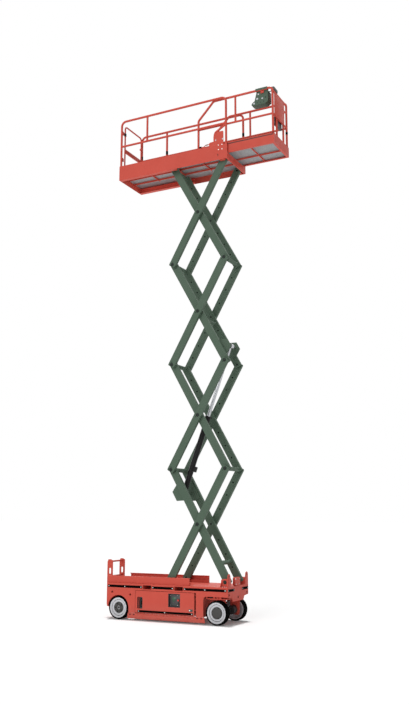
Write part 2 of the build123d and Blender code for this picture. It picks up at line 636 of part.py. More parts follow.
# Battery pack and hydraulic unit, each one plain block in its tray
BLOCK_GAP = 10.0
BATTERY_LENGTH = 0.615 * DOOR_LENGTH
BATTERY_HEIGHT = 265.0
POWER_LENGTH = 0.492 * DOOR_LENGTH
POWER_HEIGHT = 240.0
block_rear = DOOR_REAR + TRAY_SHORT + TRAY_WALL + BLOCK_GAP
block_low = DOOR_BOTTOM + TRAY_WALL
block_in, block_out = TRAY_IN + TRAY_WALL + BLOCK_GAP, SIDE_IN - PANEL_DEPTH - BLOCK_GAP
add("battery_pack", box(block_rear, block_rear + BATTERY_LENGTH, -block_out, -block_in,
                        block_low, block_low + BATTERY_HEIGHT))
add("power_unit", box(block_rear, block_rear + POWER_LENGTH, block_in, block_out,
                      block_low, block_low + POWER_HEIGHT))

# Ground controls in the right tray's door
PANEL_WALL = 4.0
STOP_RADIUS = 20.0


def ground_controls():
    """A recessed control panel with its stop button."""
    x0, x1 = PANEL_REAR + SEAT_GAP, PANEL_REAR + PANEL_LENGTH - SEAT_GAP
    z0, z1 = PANEL_LOW + SEAT_GAP, PANEL_HIGH - SEAT_GAP
    shell = box(x0, x1, -SIDE_OUT, -SIDE_OUT + PANEL_DEPTH, z0, z1)
    w = PANEL_WALL
    hollow = box(x0 + w, x1 - w, -SIDE_OUT - 1, -SIDE_OUT + PANEL_DEPTH - w, z0 + w, z1 - w)
    x_stop, z_stop = x1 - 50.0, (z0 + z1) / 2
    face = -SIDE_OUT + PANEL_DEPTH - w
    return shell - hollow + cross_bar(x_stop, z_stop, face, face - 30.0, STOP_RADIUS)


add("ground_controls", ground_controls())

KICK_LOW = 136.0
KICK_HIGH = 170.0
KICK_REAR = DOOR_REAR + 46.0
KICK_LENGTH = DOOR_LENGTH - 92.0
kick = box(KICK_REAR, KICK_REAR + KICK_LENGTH, SIDE_OUT, SIDE_OUT + STRIP_THICK, KICK_LOW, KICK_HIGH)
add("left_kick_strip", kick)
add("right_kick_strip", mirror(kick, about=Plane.XZ))

# Fold-down guards below the trays, down while the platform is raised
GUARD_REAR = X_REAR_AXLE + 181.0
GUARD_FRONT = X_FRONT_AXLE - 204.0
GUARD_LOW = 27.0
GUARD_HINGE_Z = 108.0
GUARD_THICK = 8.0
GUARD_HINGE_RADIUS = 7.0
GUARD_Y = SIDE_OUT - SIDE_THICK
GUARD_SLANT = 16.0
GUARD_HINGES = (DOOR_REAR - 66.0, DOOR_FRONT + 66.0)
GUARD_KNUCKLE = 40.0


def guard():
    """The left guard plate with the knuckles on its upper edge, bored for the hinge pins."""
    y0, y1 = GUARD_Y - GUARD_THICK / 2, GUARD_Y + GUARD_THICK / 2
    outline = [(GUARD_REAR, GUARD_LOW), (GUARD_FRONT, GUARD_LOW), (GUARD_FRONT - GUARD_SLANT, GUARD_HINGE_Z),
               (GUARD_REAR + GUARD_SLANT / 2, GUARD_HINGE_Z)]
    return plate_xz(outline, y0, y1)


def guard_pins():
    """The left hinge pins and the blocks that hold them below the side plate."""
    blocks = []
    for x in GUARD_HINGES:
        for end in (-1, 1):
            near, far = x + end * (GUARD_KNUCKLE / 2 + MOVE_GAP), x + end * (GUARD_KNUCKLE + MOVE_GAP)
            ear = box(near, far, GUARD_Y - GUARD_THICK, SIDE_OUT - 1, GUARD_HINGE_Z - 10, CHASSIS_BOTTOM)
            blocks.append(ear)
    return blocks


def guard_with_knuckles():
    """The guard plate notched at the blocks, with a pin through each knuckle."""
    plate = guard()
    for x in GUARD_HINGES:
        reach = GUARD_KNUCKLE + 2 * MOVE_GAP
        plate = plate - box(x - reach, x + reach, 0, SIDE_OUT, GUARD_HINGE_Z - 24, GUARD_HINGE_Z + 10)
        knuckle = box(x - GUARD_KNUCKLE / 2, x + GUARD_KNUCKLE / 2, GUARD_Y - GUARD_THICK / 2,
                      GUARD_Y + GUARD_THICK / 2, GUARD_HINGE_Z - 25, GUARD_HINGE_Z)
        pin = rod((x - reach + MOVE_GAP, GUARD_Y, GUARD_HINGE_Z), (x + reach - MOVE_GAP, GUARD_Y, GUARD_HINGE_Z),
                  GUARD_HINGE_RADIUS - 2)
        barrel = rod((x - GUARD_KNUCKLE / 2, GUARD_Y, GUARD_HINGE_Z), (x + GUARD_KNUCKLE / 2, GUARD_Y, GUARD_HINGE_Z),
                     GUARD_HINGE_RADIUS)
        plate = plate + knuckle + barrel + pin
    return plate


def bored_blocks():
    """The hinge blocks with their pin holes."""
    blocks = []
    for block in guard_pins():
        box_x = block.bounding_box()
        hole = rod((box_x.min.X - 1, GUARD_Y, GUARD_HINGE_Z), (box_x.max.X + 1, GUARD_Y, GUARD_HINGE_Z),
                   GUARD_HINGE_RADIUS - 2 + PIN_GAP)
        blocks += both_sides(block - hole)
    return blocks


add("guard_brackets", bored_blocks())
add("left_guard", guard_with_knuckles())
add("right_guard", mirror(guard_with_knuckles(), about=Plane.XZ))

# Wheels
RIM_RADIUS = 165.0
RIM_DISH = 22.0
HUB_RADIUS = 90.0
SPINDLE_RADIUS = 26.0
TYRE_CORNER = 12.0


def tyre(x, y):
    """A solid tyre with rounded shoulders."""
    body = cross_bar(x, WHEEL_RADIUS, y - TYRE_WIDTH / 2, y + TYRE_WIDTH / 2, WHEEL_RADIUS)
    body = fillet(body.edges().filter_by(GeomType.CIRCLE), TYRE_CORNER)
    return body - cross_bar(x, WHEEL_RADIUS, y - TYRE_WIDTH, y + TYRE_WIDTH, RIM_RADIUS)


def rim(x, side):
    """A dished rim with a raised hub, bored for its spindle. Side is the sign of Y."""
    y_mid = side * WHEEL_MID
    half = TYRE_WIDTH / 2 - 4
    body = cross_bar(x, WHEEL_RADIUS, y_mid - half, y_mid + half, RIM_RADIUS)
    face = y_mid + side * half
    dish = cross_bar(x, WHEEL_RADIUS, face - side * RIM_DISH, face + side, RIM_RADIUS - 14)
    hub = cross_bar(x, WHEEL_RADIUS, face - side * RIM_DISH, face - side * 4, HUB_RADIUS)
    back = y_mid - side * half
    well = cross_bar(x, WHEEL_RADIUS, back - side, back + side * 60, RIM_RADIUS - 14)
    bore = cross_bar(x, WHEEL_RADIUS, back - side, face - side * 30, SPINDLE_RADIUS + PIN_GAP)
    return body - dish - well + hub - bore


for end, x_axle in (("front", X_FRONT_AXLE), ("rear", X_REAR_AXLE)):
    for hand, side in (("left", 1), ("right", -1)):
        add(f"{end}_{hand}_tyre", tyre(x_axle, side * WHEEL_MID))
        add(f"{end}_{hand}_rim", rim(x_axle, side))

# Rear axle with its hangers
AXLE_HALF = 45.0
SPINDLE_END = WHEEL_OUT - 36.0
AXLE_SIDE = WHEEL_IN - MOVE_GAP
axle_beam = box(X_REAR_AXLE - AXLE_HALF, X_REAR_AXLE + AXLE_HALF, -AXLE_SIDE, AXLE_SIDE,
                WHEEL_RADIUS - AXLE_HALF, WHEEL_RADIUS + AXLE_HALF)
hangers = [box(X_REAR_AXLE - 2 * AXLE_HALF, X_REAR_AXLE + 2 * AXLE_HALF, y - 6, y + 6,
               WHEEL_RADIUS - AXLE_HALF, CHASSIS_TOP - PLATE_THICK) for y in (-WELL_HALF - 20, WELL_HALF + 20)]
axle_stubs = [cross_bar(X_REAR_AXLE, WHEEL_RADIUS, side * (AXLE_SIDE - 10), side * SPINDLE_END, SPINDLE_RADIUS)
              for side in (-1, 1)]
add("rear_axle", fused([axle_beam, *hangers, *axle_stubs]))

# Steered front yokes with hub motors, and the track rod between them
YOKE_TOP = FRONT_ARCH_TOP - MOVE_GAP
YOKE_LOW = 2 * WHEEL_RADIUS + 2 * MOVE_GAP
YOKE_THICK = 12.0
YOKE_HALF = 62.0
YOKE_IN = WHEEL_IN - MOVE_GAP - 2 * YOKE_THICK
STEER_ARM = 120.0
STEER_RANGE = 60.0
TRACK_RADIUS = 11.0
MOTOR_RADIUS = 72.0
MOTOR_LENGTH = 105.0
STEER_PIN_RADIUS = 8.0


def yoke():
    """The left yoke: kingpin, top plate over the tyre, inner plate, spindle and steering arm."""
    x, y = X_FRONT_AXLE, WHEEL_MID
    kingpin = rod((x, y, YOKE_LOW), (x, y, FRONT_ARCH_TOP + AXLE_PLATE), KINGPIN_RADIUS)
    top = box(x - YOKE_HALF, x + YOKE_HALF, YOKE_IN, y + YOKE_HALF / 2, YOKE_LOW, YOKE_LOW + YOKE_THICK)
    inner = box(x - YOKE_HALF, x + YOKE_HALF, YOKE_IN, YOKE_IN + YOKE_THICK,
                WHEEL_RADIUS - YOKE_HALF, YOKE_LOW + YOKE_THICK)
    spindle = cross_bar(x, WHEEL_RADIUS, YOKE_IN, SPINDLE_END, SPINDLE_RADIUS)
    arm = box(x - STEER_ARM - 2 * STEER_PIN_RADIUS, x - YOKE_HALF, y - YOKE_HALF / 2, y + YOKE_HALF / 2,
              YOKE_LOW, YOKE_LOW + YOKE_THICK)
    pin = rod((x - STEER_ARM, y, YOKE_LOW), (x - STEER_ARM, y, YOKE_TOP - 1), STEER_PIN_RADIUS)
    return fused([top, inner, kingpin, spindle, arm, pin])


def track_rod():
    """The track rod with a bored eye at each end."""
    x, y = X_FRONT_AXLE - STEER_ARM, WHEEL_MID
    low, high = YOKE_LOW + YOKE_THICK + SEAT_GAP, YOKE_TOP - 2
    bar = cross_bar(x, (low + high) / 2, -y, y, TRACK_RADIUS)
    for side in (-y, y):
        bar = bar + rod((x, side, low), (x, side, high), 2 * STEER_PIN_RADIUS)
    for side in (-y, y):
        bar = bar - rod((x, side, low - 1), (x, side, high + 1), STEER_PIN_RADIUS + PIN_GAP)
    return bar


motor = cross_bar(X_FRONT_AXLE, WHEEL_RADIUS, YOKE_IN - MOTOR_LENGTH, YOKE_IN, MOTOR_RADIUS)
motor = fillet(motor.edges().filter_by(GeomType.CIRCLE).group_by(Axis.Y)[0], MOTOR_RADIUS / 6)
add("left_yoke", yoke())
add("right_yoke", mirror(yoke(), about=Plane.XZ))
add("left_motor", motor)
add("right_motor", mirror(motor, about=Plane.XZ))
add("track_rod", track_rod())


# Platform

FASCIA_THICK = 6.0
FASCIA_LOW = TOP_PIVOT - ROLLER_RADIUS - ROLL_GAP - CHANNEL_WALL
FLOOR_TOP = TOP_PIVOT + FLOOR_ABOVE_PIVOT
FLOOR_LOW = FLOOR_TOP - FLOOR_THICK
FASCIA_TOP = FASCIA_LOW + FASCIA_HEIGHT
FASCIA_IN = DECK_HALF_WIDTH - FASCIA_THICK
FRONT_BEAM = 24.0
RIB_LOW = TOP_PIVOT + CROSS_TUBE_RADIUS + MOVE_GAP
RIB_THICK = 8.0
RIB_Y = 110.0
RIB_HALF = 172.0
RIB_PITCH = 560.0
TOP_LUG_HALF = 50.0


EAR_REAR_SETBACK = 212.0
EAR_LENGTH = 143.0
EAR_RISE = 254.0
EAR_CORNER = 24.0


def fascia_ear():
    """The plate that stands up from the right fascia near its front end."""
    x0 = X_DECK_FRONT - EAR_REAR_SETBACK
    ear = box(x0, x0 + EAR_LENGTH, -DECK_HALF_WIDTH, -FASCIA_IN, FASCIA_TOP, FASCIA_TOP + EAR_RISE)
    return fillet(ear.edges().filter_by(Axis.Y).group_by(Axis.Z)[-1], EAR_CORNER)


def deck_frame():
    """Fascias, roller channels, ribs, front beam and rear plate of the main deck."""
    fascia = box(X_DECK_REAR, X_DECK_FRONT, FASCIA_IN, DECK_HALF_WIDTH, FASCIA_LOW, FASCIA_TOP)
    channel = slide_channel(X_DECK_REAR, X_SLIDE + 2 * CHANNEL_END, TOP_PIVOT, FASCIA_LOW, ROLL_GAP)
    web_out = ROLLER_OUT + ROLL_GAP + CHANNEL_WALL
    tie = box(X_DECK_REAR, X_SLIDE + 2 * CHANNEL_END, web_out, FASCIA_IN, FASCIA_LOW, FASCIA_LOW + CHANNEL_WALL)
    shelf = box(X_DECK_REAR, X_DECK_FRONT, FASCIA_IN - 2 * FASCIA_THICK, FASCIA_IN,
                FLOOR_LOW - FASCIA_THICK, FLOOR_LOW)
    lug = box(X_PIVOT - TOP_LUG_HALF, X_PIVOT + TOP_LUG_HALF, ROLLER_IN, ROLLER_IN + LUG_PLATE,
              FASCIA_LOW, FLOOR_LOW)
    gusset = box(X_PIVOT - TOP_LUG_HALF, X_PIVOT + TOP_LUG_HALF, ROLLER_IN + LUG_PLATE, FASCIA_IN,
                 FASCIA_LOW, FASCIA_LOW + CHANNEL_WALL)
    lug = lug - cross_bar(X_PIVOT, TOP_PIVOT, 0, DECK_HALF_WIDTH, PIN_RADIUS + PIN_GAP)
    beam = box(X_DECK_FRONT - FRONT_BEAM, X_DECK_FRONT, -FASCIA_IN, FASCIA_IN, FASCIA_LOW, FLOOR_LOW)
    rear = box(X_DECK_REAR, X_DECK_REAR + FASCIA_THICK, -FASCIA_IN, FASCIA_IN, FASCIA_LOW, FLOOR_LOW)
    rib_from, rib_to = X_DECK_REAR + FASCIA_THICK, X_DECK_FRONT - FRONT_BEAM
    long_rib = box(rib_from, rib_to, RIB_Y - RIB_THICK / 2, RIB_Y + RIB_THICK / 2, RIB_LOW, FLOOR_LOW)
    pieces = [beam, rear, *both_sides(long_rib)]
    for side in (fascia, channel, tie, shelf, lug, gusset):
        pieces += both_sides(side)
    pieces.append(fascia_ear())
    count = int((rib_to - rib_from) // RIB_PITCH)
    for index in range(1, count + 1):
        x = rib_from + index * (rib_to - rib_from) / (count + 1)
        pieces.append(box(x - RIB_THICK / 2, x + RIB_THICK / 2, -RIB_HALF, RIB_HALF, RIB_LOW, FLOOR_LOW))
    return fused(pieces)


add("deck_frame", deck_frame())
add("deck_floor", box(X_DECK_REAR, X_DECK_FRONT, -FASCIA_IN, FASCIA_IN, FLOOR_LOW, FLOOR_TOP))

# Guard rails of the main deck
RAIL_Y = FASCIA_IN - RAIL_RADIUS - 1.0
RAIL_TOP = FLOOR_TOP + RAIL_HEIGHT - RAIL_RADIUS
RAIL_MID = FLOOR_TOP + MID_RAIL_HEIGHT - RAIL_RADIUS
POST_REAR = X_DECK_REAR + RAIL_RADIUS + 2.0
POST_FRONT = X_DECK_FRONT - RAIL_RADIUS - 8.0
UPPER_STUB_X = X_DECK_REAR + 0.261 * DECK_LENGTH
LOWER_POST_X = X_DECK_REAR + 0.452 * DECK_LENGTH


def main_rail():
    """The left rail: a bent hoop with a mid rail, a stub above it and a post below it."""
    hoop = bent_tube([(POST_REAR, RAIL_Y, FLOOR_TOP), (POST_REAR, RAIL_Y, RAIL_TOP),
                      (POST_FRONT, RAIL_Y, RAIL_TOP), (POST_FRONT, RAIL_Y, FLOOR_TOP)], RAIL_BEND, RAIL_RADIUS)
    mid = rod((POST_REAR, RAIL_Y, RAIL_MID), (POST_FRONT, RAIL_Y, RAIL_MID), RAIL_RADIUS - 2)
    stub = rod((UPPER_STUB_X, RAIL_Y, RAIL_MID), (UPPER_STUB_X, RAIL_Y, RAIL_TOP), RAIL_RADIUS - 2)
    post = rod((LOWER_POST_X, RAIL_Y, FLOOR_TOP), (LOWER_POST_X, RAIL_Y, RAIL_MID), RAIL_RADIUS - 2)
    return fused([hoop, mid, stub, post])


BRACE_RUN = 220.0
BRACE_DROP = 150.0


def brace():
    """The bent brace between the right rail's front post and the deck."""
    x = POST_FRONT - BRACE_RUN
    return bent_tube([(x, -RAIL_Y, FLOOR_TOP), (x, -RAIL_Y, RAIL_MID - BRACE_DROP),
                      (POST_FRONT, -RAIL_Y, RAIL_MID - RAIL_RADIUS)], RAIL_BEND / 2, RAIL_RADIUS - 3)


add("left_rail", main_rail())
add("right_rail", mirror(main_rail(), about=Plane.XZ) + brace())

# Entry gate
GATE_RADIUS = 14.0
GATE_HINGE_Y = RAIL_Y - RAIL_RADIUS - GATE_RADIUS - MOVE_GAP
GATE_LOW = FLOOR_TOP + 60.0
GATE_BEND = 60.0
GATE_KICK = 100.0


def gate():
    """A tube hoop with a mid bar and a kick plate, with the eyes that hang it on the left post."""
    y = GATE_HINGE_Y
    hoop = bent_tube([(POST_REAR, y, GATE_LOW), (POST_REAR, y, RAIL_TOP), (POST_REAR, -y, RAIL_TOP),
                      (POST_REAR, -y, GATE_LOW)], GATE_BEND, GATE_RADIUS)
    mid = cross_bar(POST_REAR, RAIL_MID, -y, y, GATE_RADIUS - 2)
    low = cross_bar(POST_REAR, GATE_LOW + GATE_RADIUS, -y, y, GATE_RADIUS - 2)
    kick = box(POST_REAR - 2, POST_REAR + 2, -y, y, GATE_LOW + GATE_RADIUS, GATE_LOW + GATE_RADIUS + GATE_KICK)
    return fused([hoop, mid, low, kick])


def gate_hinge(z):
    """A bracket on the left rear post that reaches round the gate's tube."""
    y0, y1 = GATE_HINGE_Y - GATE_RADIUS - 8.0, RAIL_Y
    block = box(POST_REAR - GATE_RADIUS - 8.0, POST_REAR + GATE_RADIUS + 8.0, y0, y1, z - 15.0, z + 15.0)
    block = block - rod((POST_REAR, GATE_HINGE_Y, z - 20.0), (POST_REAR, GATE_HINGE_Y, z + 20.0),
                        GATE_RADIUS + PIN_GAP)
    return block - rod((POST_REAR, RAIL_Y, z - 20.0), (POST_REAR, RAIL_Y, z + 20.0), RAIL_RADIUS)


add("gate", gate())
add("gate_hinges", [gate_hinge(z) for z in (FLOOR_TOP + 260.0, FLOOR_TOP + 800.0)])

# Roll-out deck
EXT_LOW = FLOOR_TOP + MOVE_GAP
EXT_FLOOR_LOW = EXT_LOW + 30.0
EXT_FLOOR_TOP = EXT_FLOOR_LOW + FLOOR_THICK
EXT_RAIL_Y = RAIL_Y - RAIL_RADIUS - EXT_RAIL_RADIUS - MOVE_GAP
EXT_SIDE_OUT = EXT_RAIL_Y + EXT_RAIL_RADIUS
EXT_SIDE_THICK = 5.0
EXT_TOE = 150.0
EXT_EDGE = 36.0
EXT_RIB_Y = 50.0
EXT_CROSS_X = X_DECK_FRONT + 420.0
RUNNER_LENGTH = 160.0


def extension_frame():
    """Side toe boards, front toe board, edge flanges and ribs of the roll-out deck."""
    side = box(X_EXT_REAR, X_EXT_FRONT, EXT_SIDE_OUT - EXT_SIDE_THICK, EXT_SIDE_OUT, EXT_LOW, EXT_FLOOR_TOP + EXT_TOE)
    flange = box(X_EXT_REAR, X_EXT_FRONT, EXT_SIDE_OUT - EXT_EDGE, EXT_SIDE_OUT - EXT_SIDE_THICK,
                 EXT_LOW, EXT_LOW + EXT_SIDE_THICK)
    inside = EXT_SIDE_OUT - EXT_SIDE_THICK
    front = box(X_EXT_FRONT - EXT_SIDE_THICK, X_EXT_FRONT, -inside, inside, EXT_LOW, EXT_FLOOR_TOP + EXT_TOE)
    lip = box(X_EXT_FRONT - EXT_EDGE, X_EXT_FRONT - EXT_SIDE_THICK, -inside, inside, EXT_LOW, EXT_LOW + EXT_SIDE_THICK)
    rear = box(X_EXT_REAR, X_EXT_REAR + EXT_SIDE_THICK, -inside, inside, EXT_LOW, EXT_FLOOR_LOW)
    rib = box(X_EXT_REAR, X_EXT_FRONT - EXT_SIDE_THICK, EXT_RIB_Y - RIB_THICK / 2, EXT_RIB_Y + RIB_THICK / 2,
              EXT_LOW, EXT_FLOOR_LOW)
    cross = box(EXT_CROSS_X - RIB_THICK / 2, EXT_CROSS_X + RIB_THICK / 2, -inside, inside, EXT_LOW, EXT_FLOOR_LOW)
    runner = box(X_EXT_REAR, X_EXT_REAR + RUNNER_LENGTH, EXT_SIDE_OUT - EXT_EDGE, EXT_SIDE_OUT - EXT_SIDE_THICK,
                 FLOOR_TOP + SEAT_GAP, EXT_LOW)
    pieces = [front, lip, rear, cross, rib]
    for side_piece in (side, flange, runner):
        pieces += both_sides(side_piece)
    return fused(pieces)


inside_floor = EXT_SIDE_OUT - EXT_SIDE_THICK
add("extension_frame", extension_frame())
add("extension_floor", box(X_EXT_REAR, X_EXT_FRONT - EXT_SIDE_THICK, -inside_floor, inside_floor,
                           EXT_FLOOR_LOW, EXT_FLOOR_TOP))

# Rails of the roll-out deck
EXT_POST_REAR = X_EXT_REAR + EXT_RAIL_RADIUS + 4.0
EXT_POST_FRONT = X_EXT_FRONT - EXT_RAIL_RADIUS - EXT_SIDE_THICK
EXT_BRACE_RISE = 320.0
EXT_BRACE_RUN = 308.0
EXT_RAIL_TOP = RAIL_TOP + RAIL_RADIUS - EXT_RAIL_RADIUS
EXT_STUB_X = X_DECK_FRONT + 137.0
EXT_POST_Y = 155.0
POST_SEAT = EXT_FLOOR_TOP


def extension_rails():
    """Side and front rails of the roll-out deck, with the sloped brace at each rear end."""
    y, r = EXT_RAIL_Y - EXT_SIDE_THICK - SEAT_GAP, EXT_RAIL_RADIUS
    brace_low = EXT_RAIL_TOP - EXT_BRACE_RISE
    top = bent_tube([(EXT_POST_REAR, y, POST_SEAT), (EXT_POST_REAR, y, brace_low),
                     (EXT_POST_REAR + EXT_BRACE_RUN, y, EXT_RAIL_TOP), (EXT_POST_FRONT, y, EXT_RAIL_TOP),
                     (EXT_POST_FRONT, -y, EXT_RAIL_TOP), (EXT_POST_REAR + EXT_BRACE_RUN, -y, EXT_RAIL_TOP),
                     (EXT_POST_REAR, -y, brace_low), (EXT_POST_REAR, -y, POST_SEAT)], RAIL_BEND, r)
    pieces = [top]
    for side in (-y, y):
        pieces.append(rod((EXT_POST_REAR, side, RAIL_MID), (EXT_POST_FRONT, side, RAIL_MID), r - 2))
        pieces.append(rod((EXT_STUB_X, side, RAIL_MID), (EXT_STUB_X, side, EXT_RAIL_TOP), r - 2))
        x_corner = EXT_POST_FRONT - RAIL_BEND
        pieces.append(rod((x_corner, side, POST_SEAT), (x_corner, side, EXT_RAIL_TOP), r - 1))
    pieces.append(cross_bar(EXT_POST_FRONT, RAIL_MID, -y, y, r - 2))
    for side in (-EXT_POST_Y, EXT_POST_Y):
        pieces.append(rod((EXT_POST_FRONT, side, POST_SEAT), (EXT_POST_FRONT, side, EXT_RAIL_TOP), r - 2))
    return fused(pieces)


add("extension_rails", extension_rails())

# Sheet on the front rail, document box behind it and the control box on the right rail
SHEET_THICK = 3.0
SHEET_RIGHT = -254.0
SHEET_LEFT = 168.0
POST_TUBE = EXT_RAIL_RADIUS - 2.0
SHEET_LOW = RAIL_MID + EXT_RAIL_RADIUS
SHEET_HIGH = EXT_RAIL_TOP - EXT_RAIL_RADIUS
sheet_back = EXT_POST_FRONT + POST_TUBE + SEAT_GAP
add("front_sheet", box(sheet_back, sheet_back + SHEET_THICK, SHEET_RIGHT, SHEET_LEFT, SHEET_LOW, SHEET_HIGH))

DOCUMENT_WIDTH = 300.0
DOCUMENT_DEPTH = 58.0
DOCUMENT_HEIGHT = 210.0
DOCUMENT_SLOPE = 40.0
document_front = EXT_POST_FRONT - POST_TUBE - SEAT_GAP
document_top = RAIL_MID + 2 * EXT_RAIL_RADIUS
document_low = document_top - DOCUMENT_HEIGHT
document_outline = [(document_front, document_low), (document_front, document_top),
                    (document_front - DOCUMENT_DEPTH + DOCUMENT_SLOPE / 2, document_top),
                    (document_front - DOCUMENT_DEPTH, document_top - DOCUMENT_SLOPE),
                    (document_front - DOCUMENT_DEPTH, document_low)]
document_right = SHEET_RIGHT + EXT_RAIL_RADIUS
add("document_box", plate_xz(document_outline, document_right, document_right + DOCUMENT_WIDTH))

CONTROL_LENGTH = 320.0
CONTROL_WIDTH = 150.0
CONTROL_HEIGHT = 325.0
CONTROL_CUT_RUN = 68.0
CONTROL_CUT_RISE = 85.0
CONTROL_FRONT = X_EXT_FRONT - 90.0
CONTROL_BELOW_RAIL = 10.0
control_y = -EXT_RAIL_Y + EXT_RAIL_RADIUS + EXT_SIDE_THICK + SEAT_GAP
control_top = EXT_RAIL_TOP - EXT_RAIL_RADIUS - CONTROL_BELOW_RAIL
control_low, control_rear = control_top - CONTROL_HEIGHT, CONTROL_FRONT - CONTROL_LENGTH
control_outline = [(control_rear, control_top), (CONTROL_FRONT, control_top), (CONTROL_FRONT, control_low),
                   (control_rear + CONTROL_CUT_RUN, control_low), (control_rear, control_low + CONTROL_CUT_RISE)]
hanger = box(control_rear + CONTROL_CUT_RUN, CONTROL_FRONT - CONTROL_CUT_RUN, control_y, control_y + EXT_RAIL_RADIUS,
             control_top, EXT_RAIL_TOP + EXT_RAIL_RADIUS)
add("control_box", plate_xz(control_outline, control_y, control_y + CONTROL_WIDTH) + hanger)

os.makedirs("parts", exist_ok=True)
for name, shape in PARTS.items():
    export_step(shape, f"parts/{name}.step")
print(len(PARTS), "nodes")
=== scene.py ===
"""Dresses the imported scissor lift: finishes for every node, wheels, rails, fittings, light and camera."""

from __future__ import annotations

import json
import logging
import math
from dataclasses import dataclass, field
from enum import Enum
from typing import Iterable, Optional, Sequence

import bmesh
import bpy
from mathutils import Matrix, Vector

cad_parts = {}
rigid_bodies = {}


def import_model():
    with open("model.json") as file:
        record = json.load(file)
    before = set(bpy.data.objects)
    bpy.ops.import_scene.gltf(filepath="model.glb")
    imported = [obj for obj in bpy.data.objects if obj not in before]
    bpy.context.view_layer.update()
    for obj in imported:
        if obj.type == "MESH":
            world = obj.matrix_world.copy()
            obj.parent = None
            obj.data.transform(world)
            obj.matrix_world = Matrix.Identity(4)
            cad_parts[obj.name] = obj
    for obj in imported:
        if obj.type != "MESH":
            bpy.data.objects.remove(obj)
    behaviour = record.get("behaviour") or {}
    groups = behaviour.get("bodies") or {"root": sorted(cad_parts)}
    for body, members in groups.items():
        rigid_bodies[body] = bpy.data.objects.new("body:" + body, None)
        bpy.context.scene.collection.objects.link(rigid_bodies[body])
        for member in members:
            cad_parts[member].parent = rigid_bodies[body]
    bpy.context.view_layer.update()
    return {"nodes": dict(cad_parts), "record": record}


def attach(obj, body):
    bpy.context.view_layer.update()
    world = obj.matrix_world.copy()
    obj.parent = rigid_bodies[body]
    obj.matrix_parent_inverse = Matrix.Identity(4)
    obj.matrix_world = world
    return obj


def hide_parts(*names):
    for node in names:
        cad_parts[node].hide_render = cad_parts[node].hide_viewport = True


LOG = logging.getLogger("scissor_lift")

Point = tuple[float, float, float]
Colour = tuple[float, float, float]
SHARP_ANGLE = math.radians(35.0)
MERGE_DISTANCE = 1e-6
WHITE = (1.0, 1.0, 1.0, 1.0)


class Facing(Enum):
    """The plane in which a flat outline is drawn."""

    SIDE = "xz"
    FRONT = "yz"


class Axis(Enum):
    """The main directions of the machine."""

    X = (1.0, 0.0, 0.0)
    Y = (0.0, 1.0, 0.0)
    Z = (0.0, 0.0, 1.0)

    @property
    def vector(self) -> Vector:
        """The direction as a vector."""
        return Vector(self.value)


class Hand(Enum):
    """The machine's two sides, by the sign of Y."""

    RIGHT = -1.0
    LEFT = 1.0

    @property
    def label(self) -> str:
        """The side's name in pieces and bodies."""
        return self.name.lower()


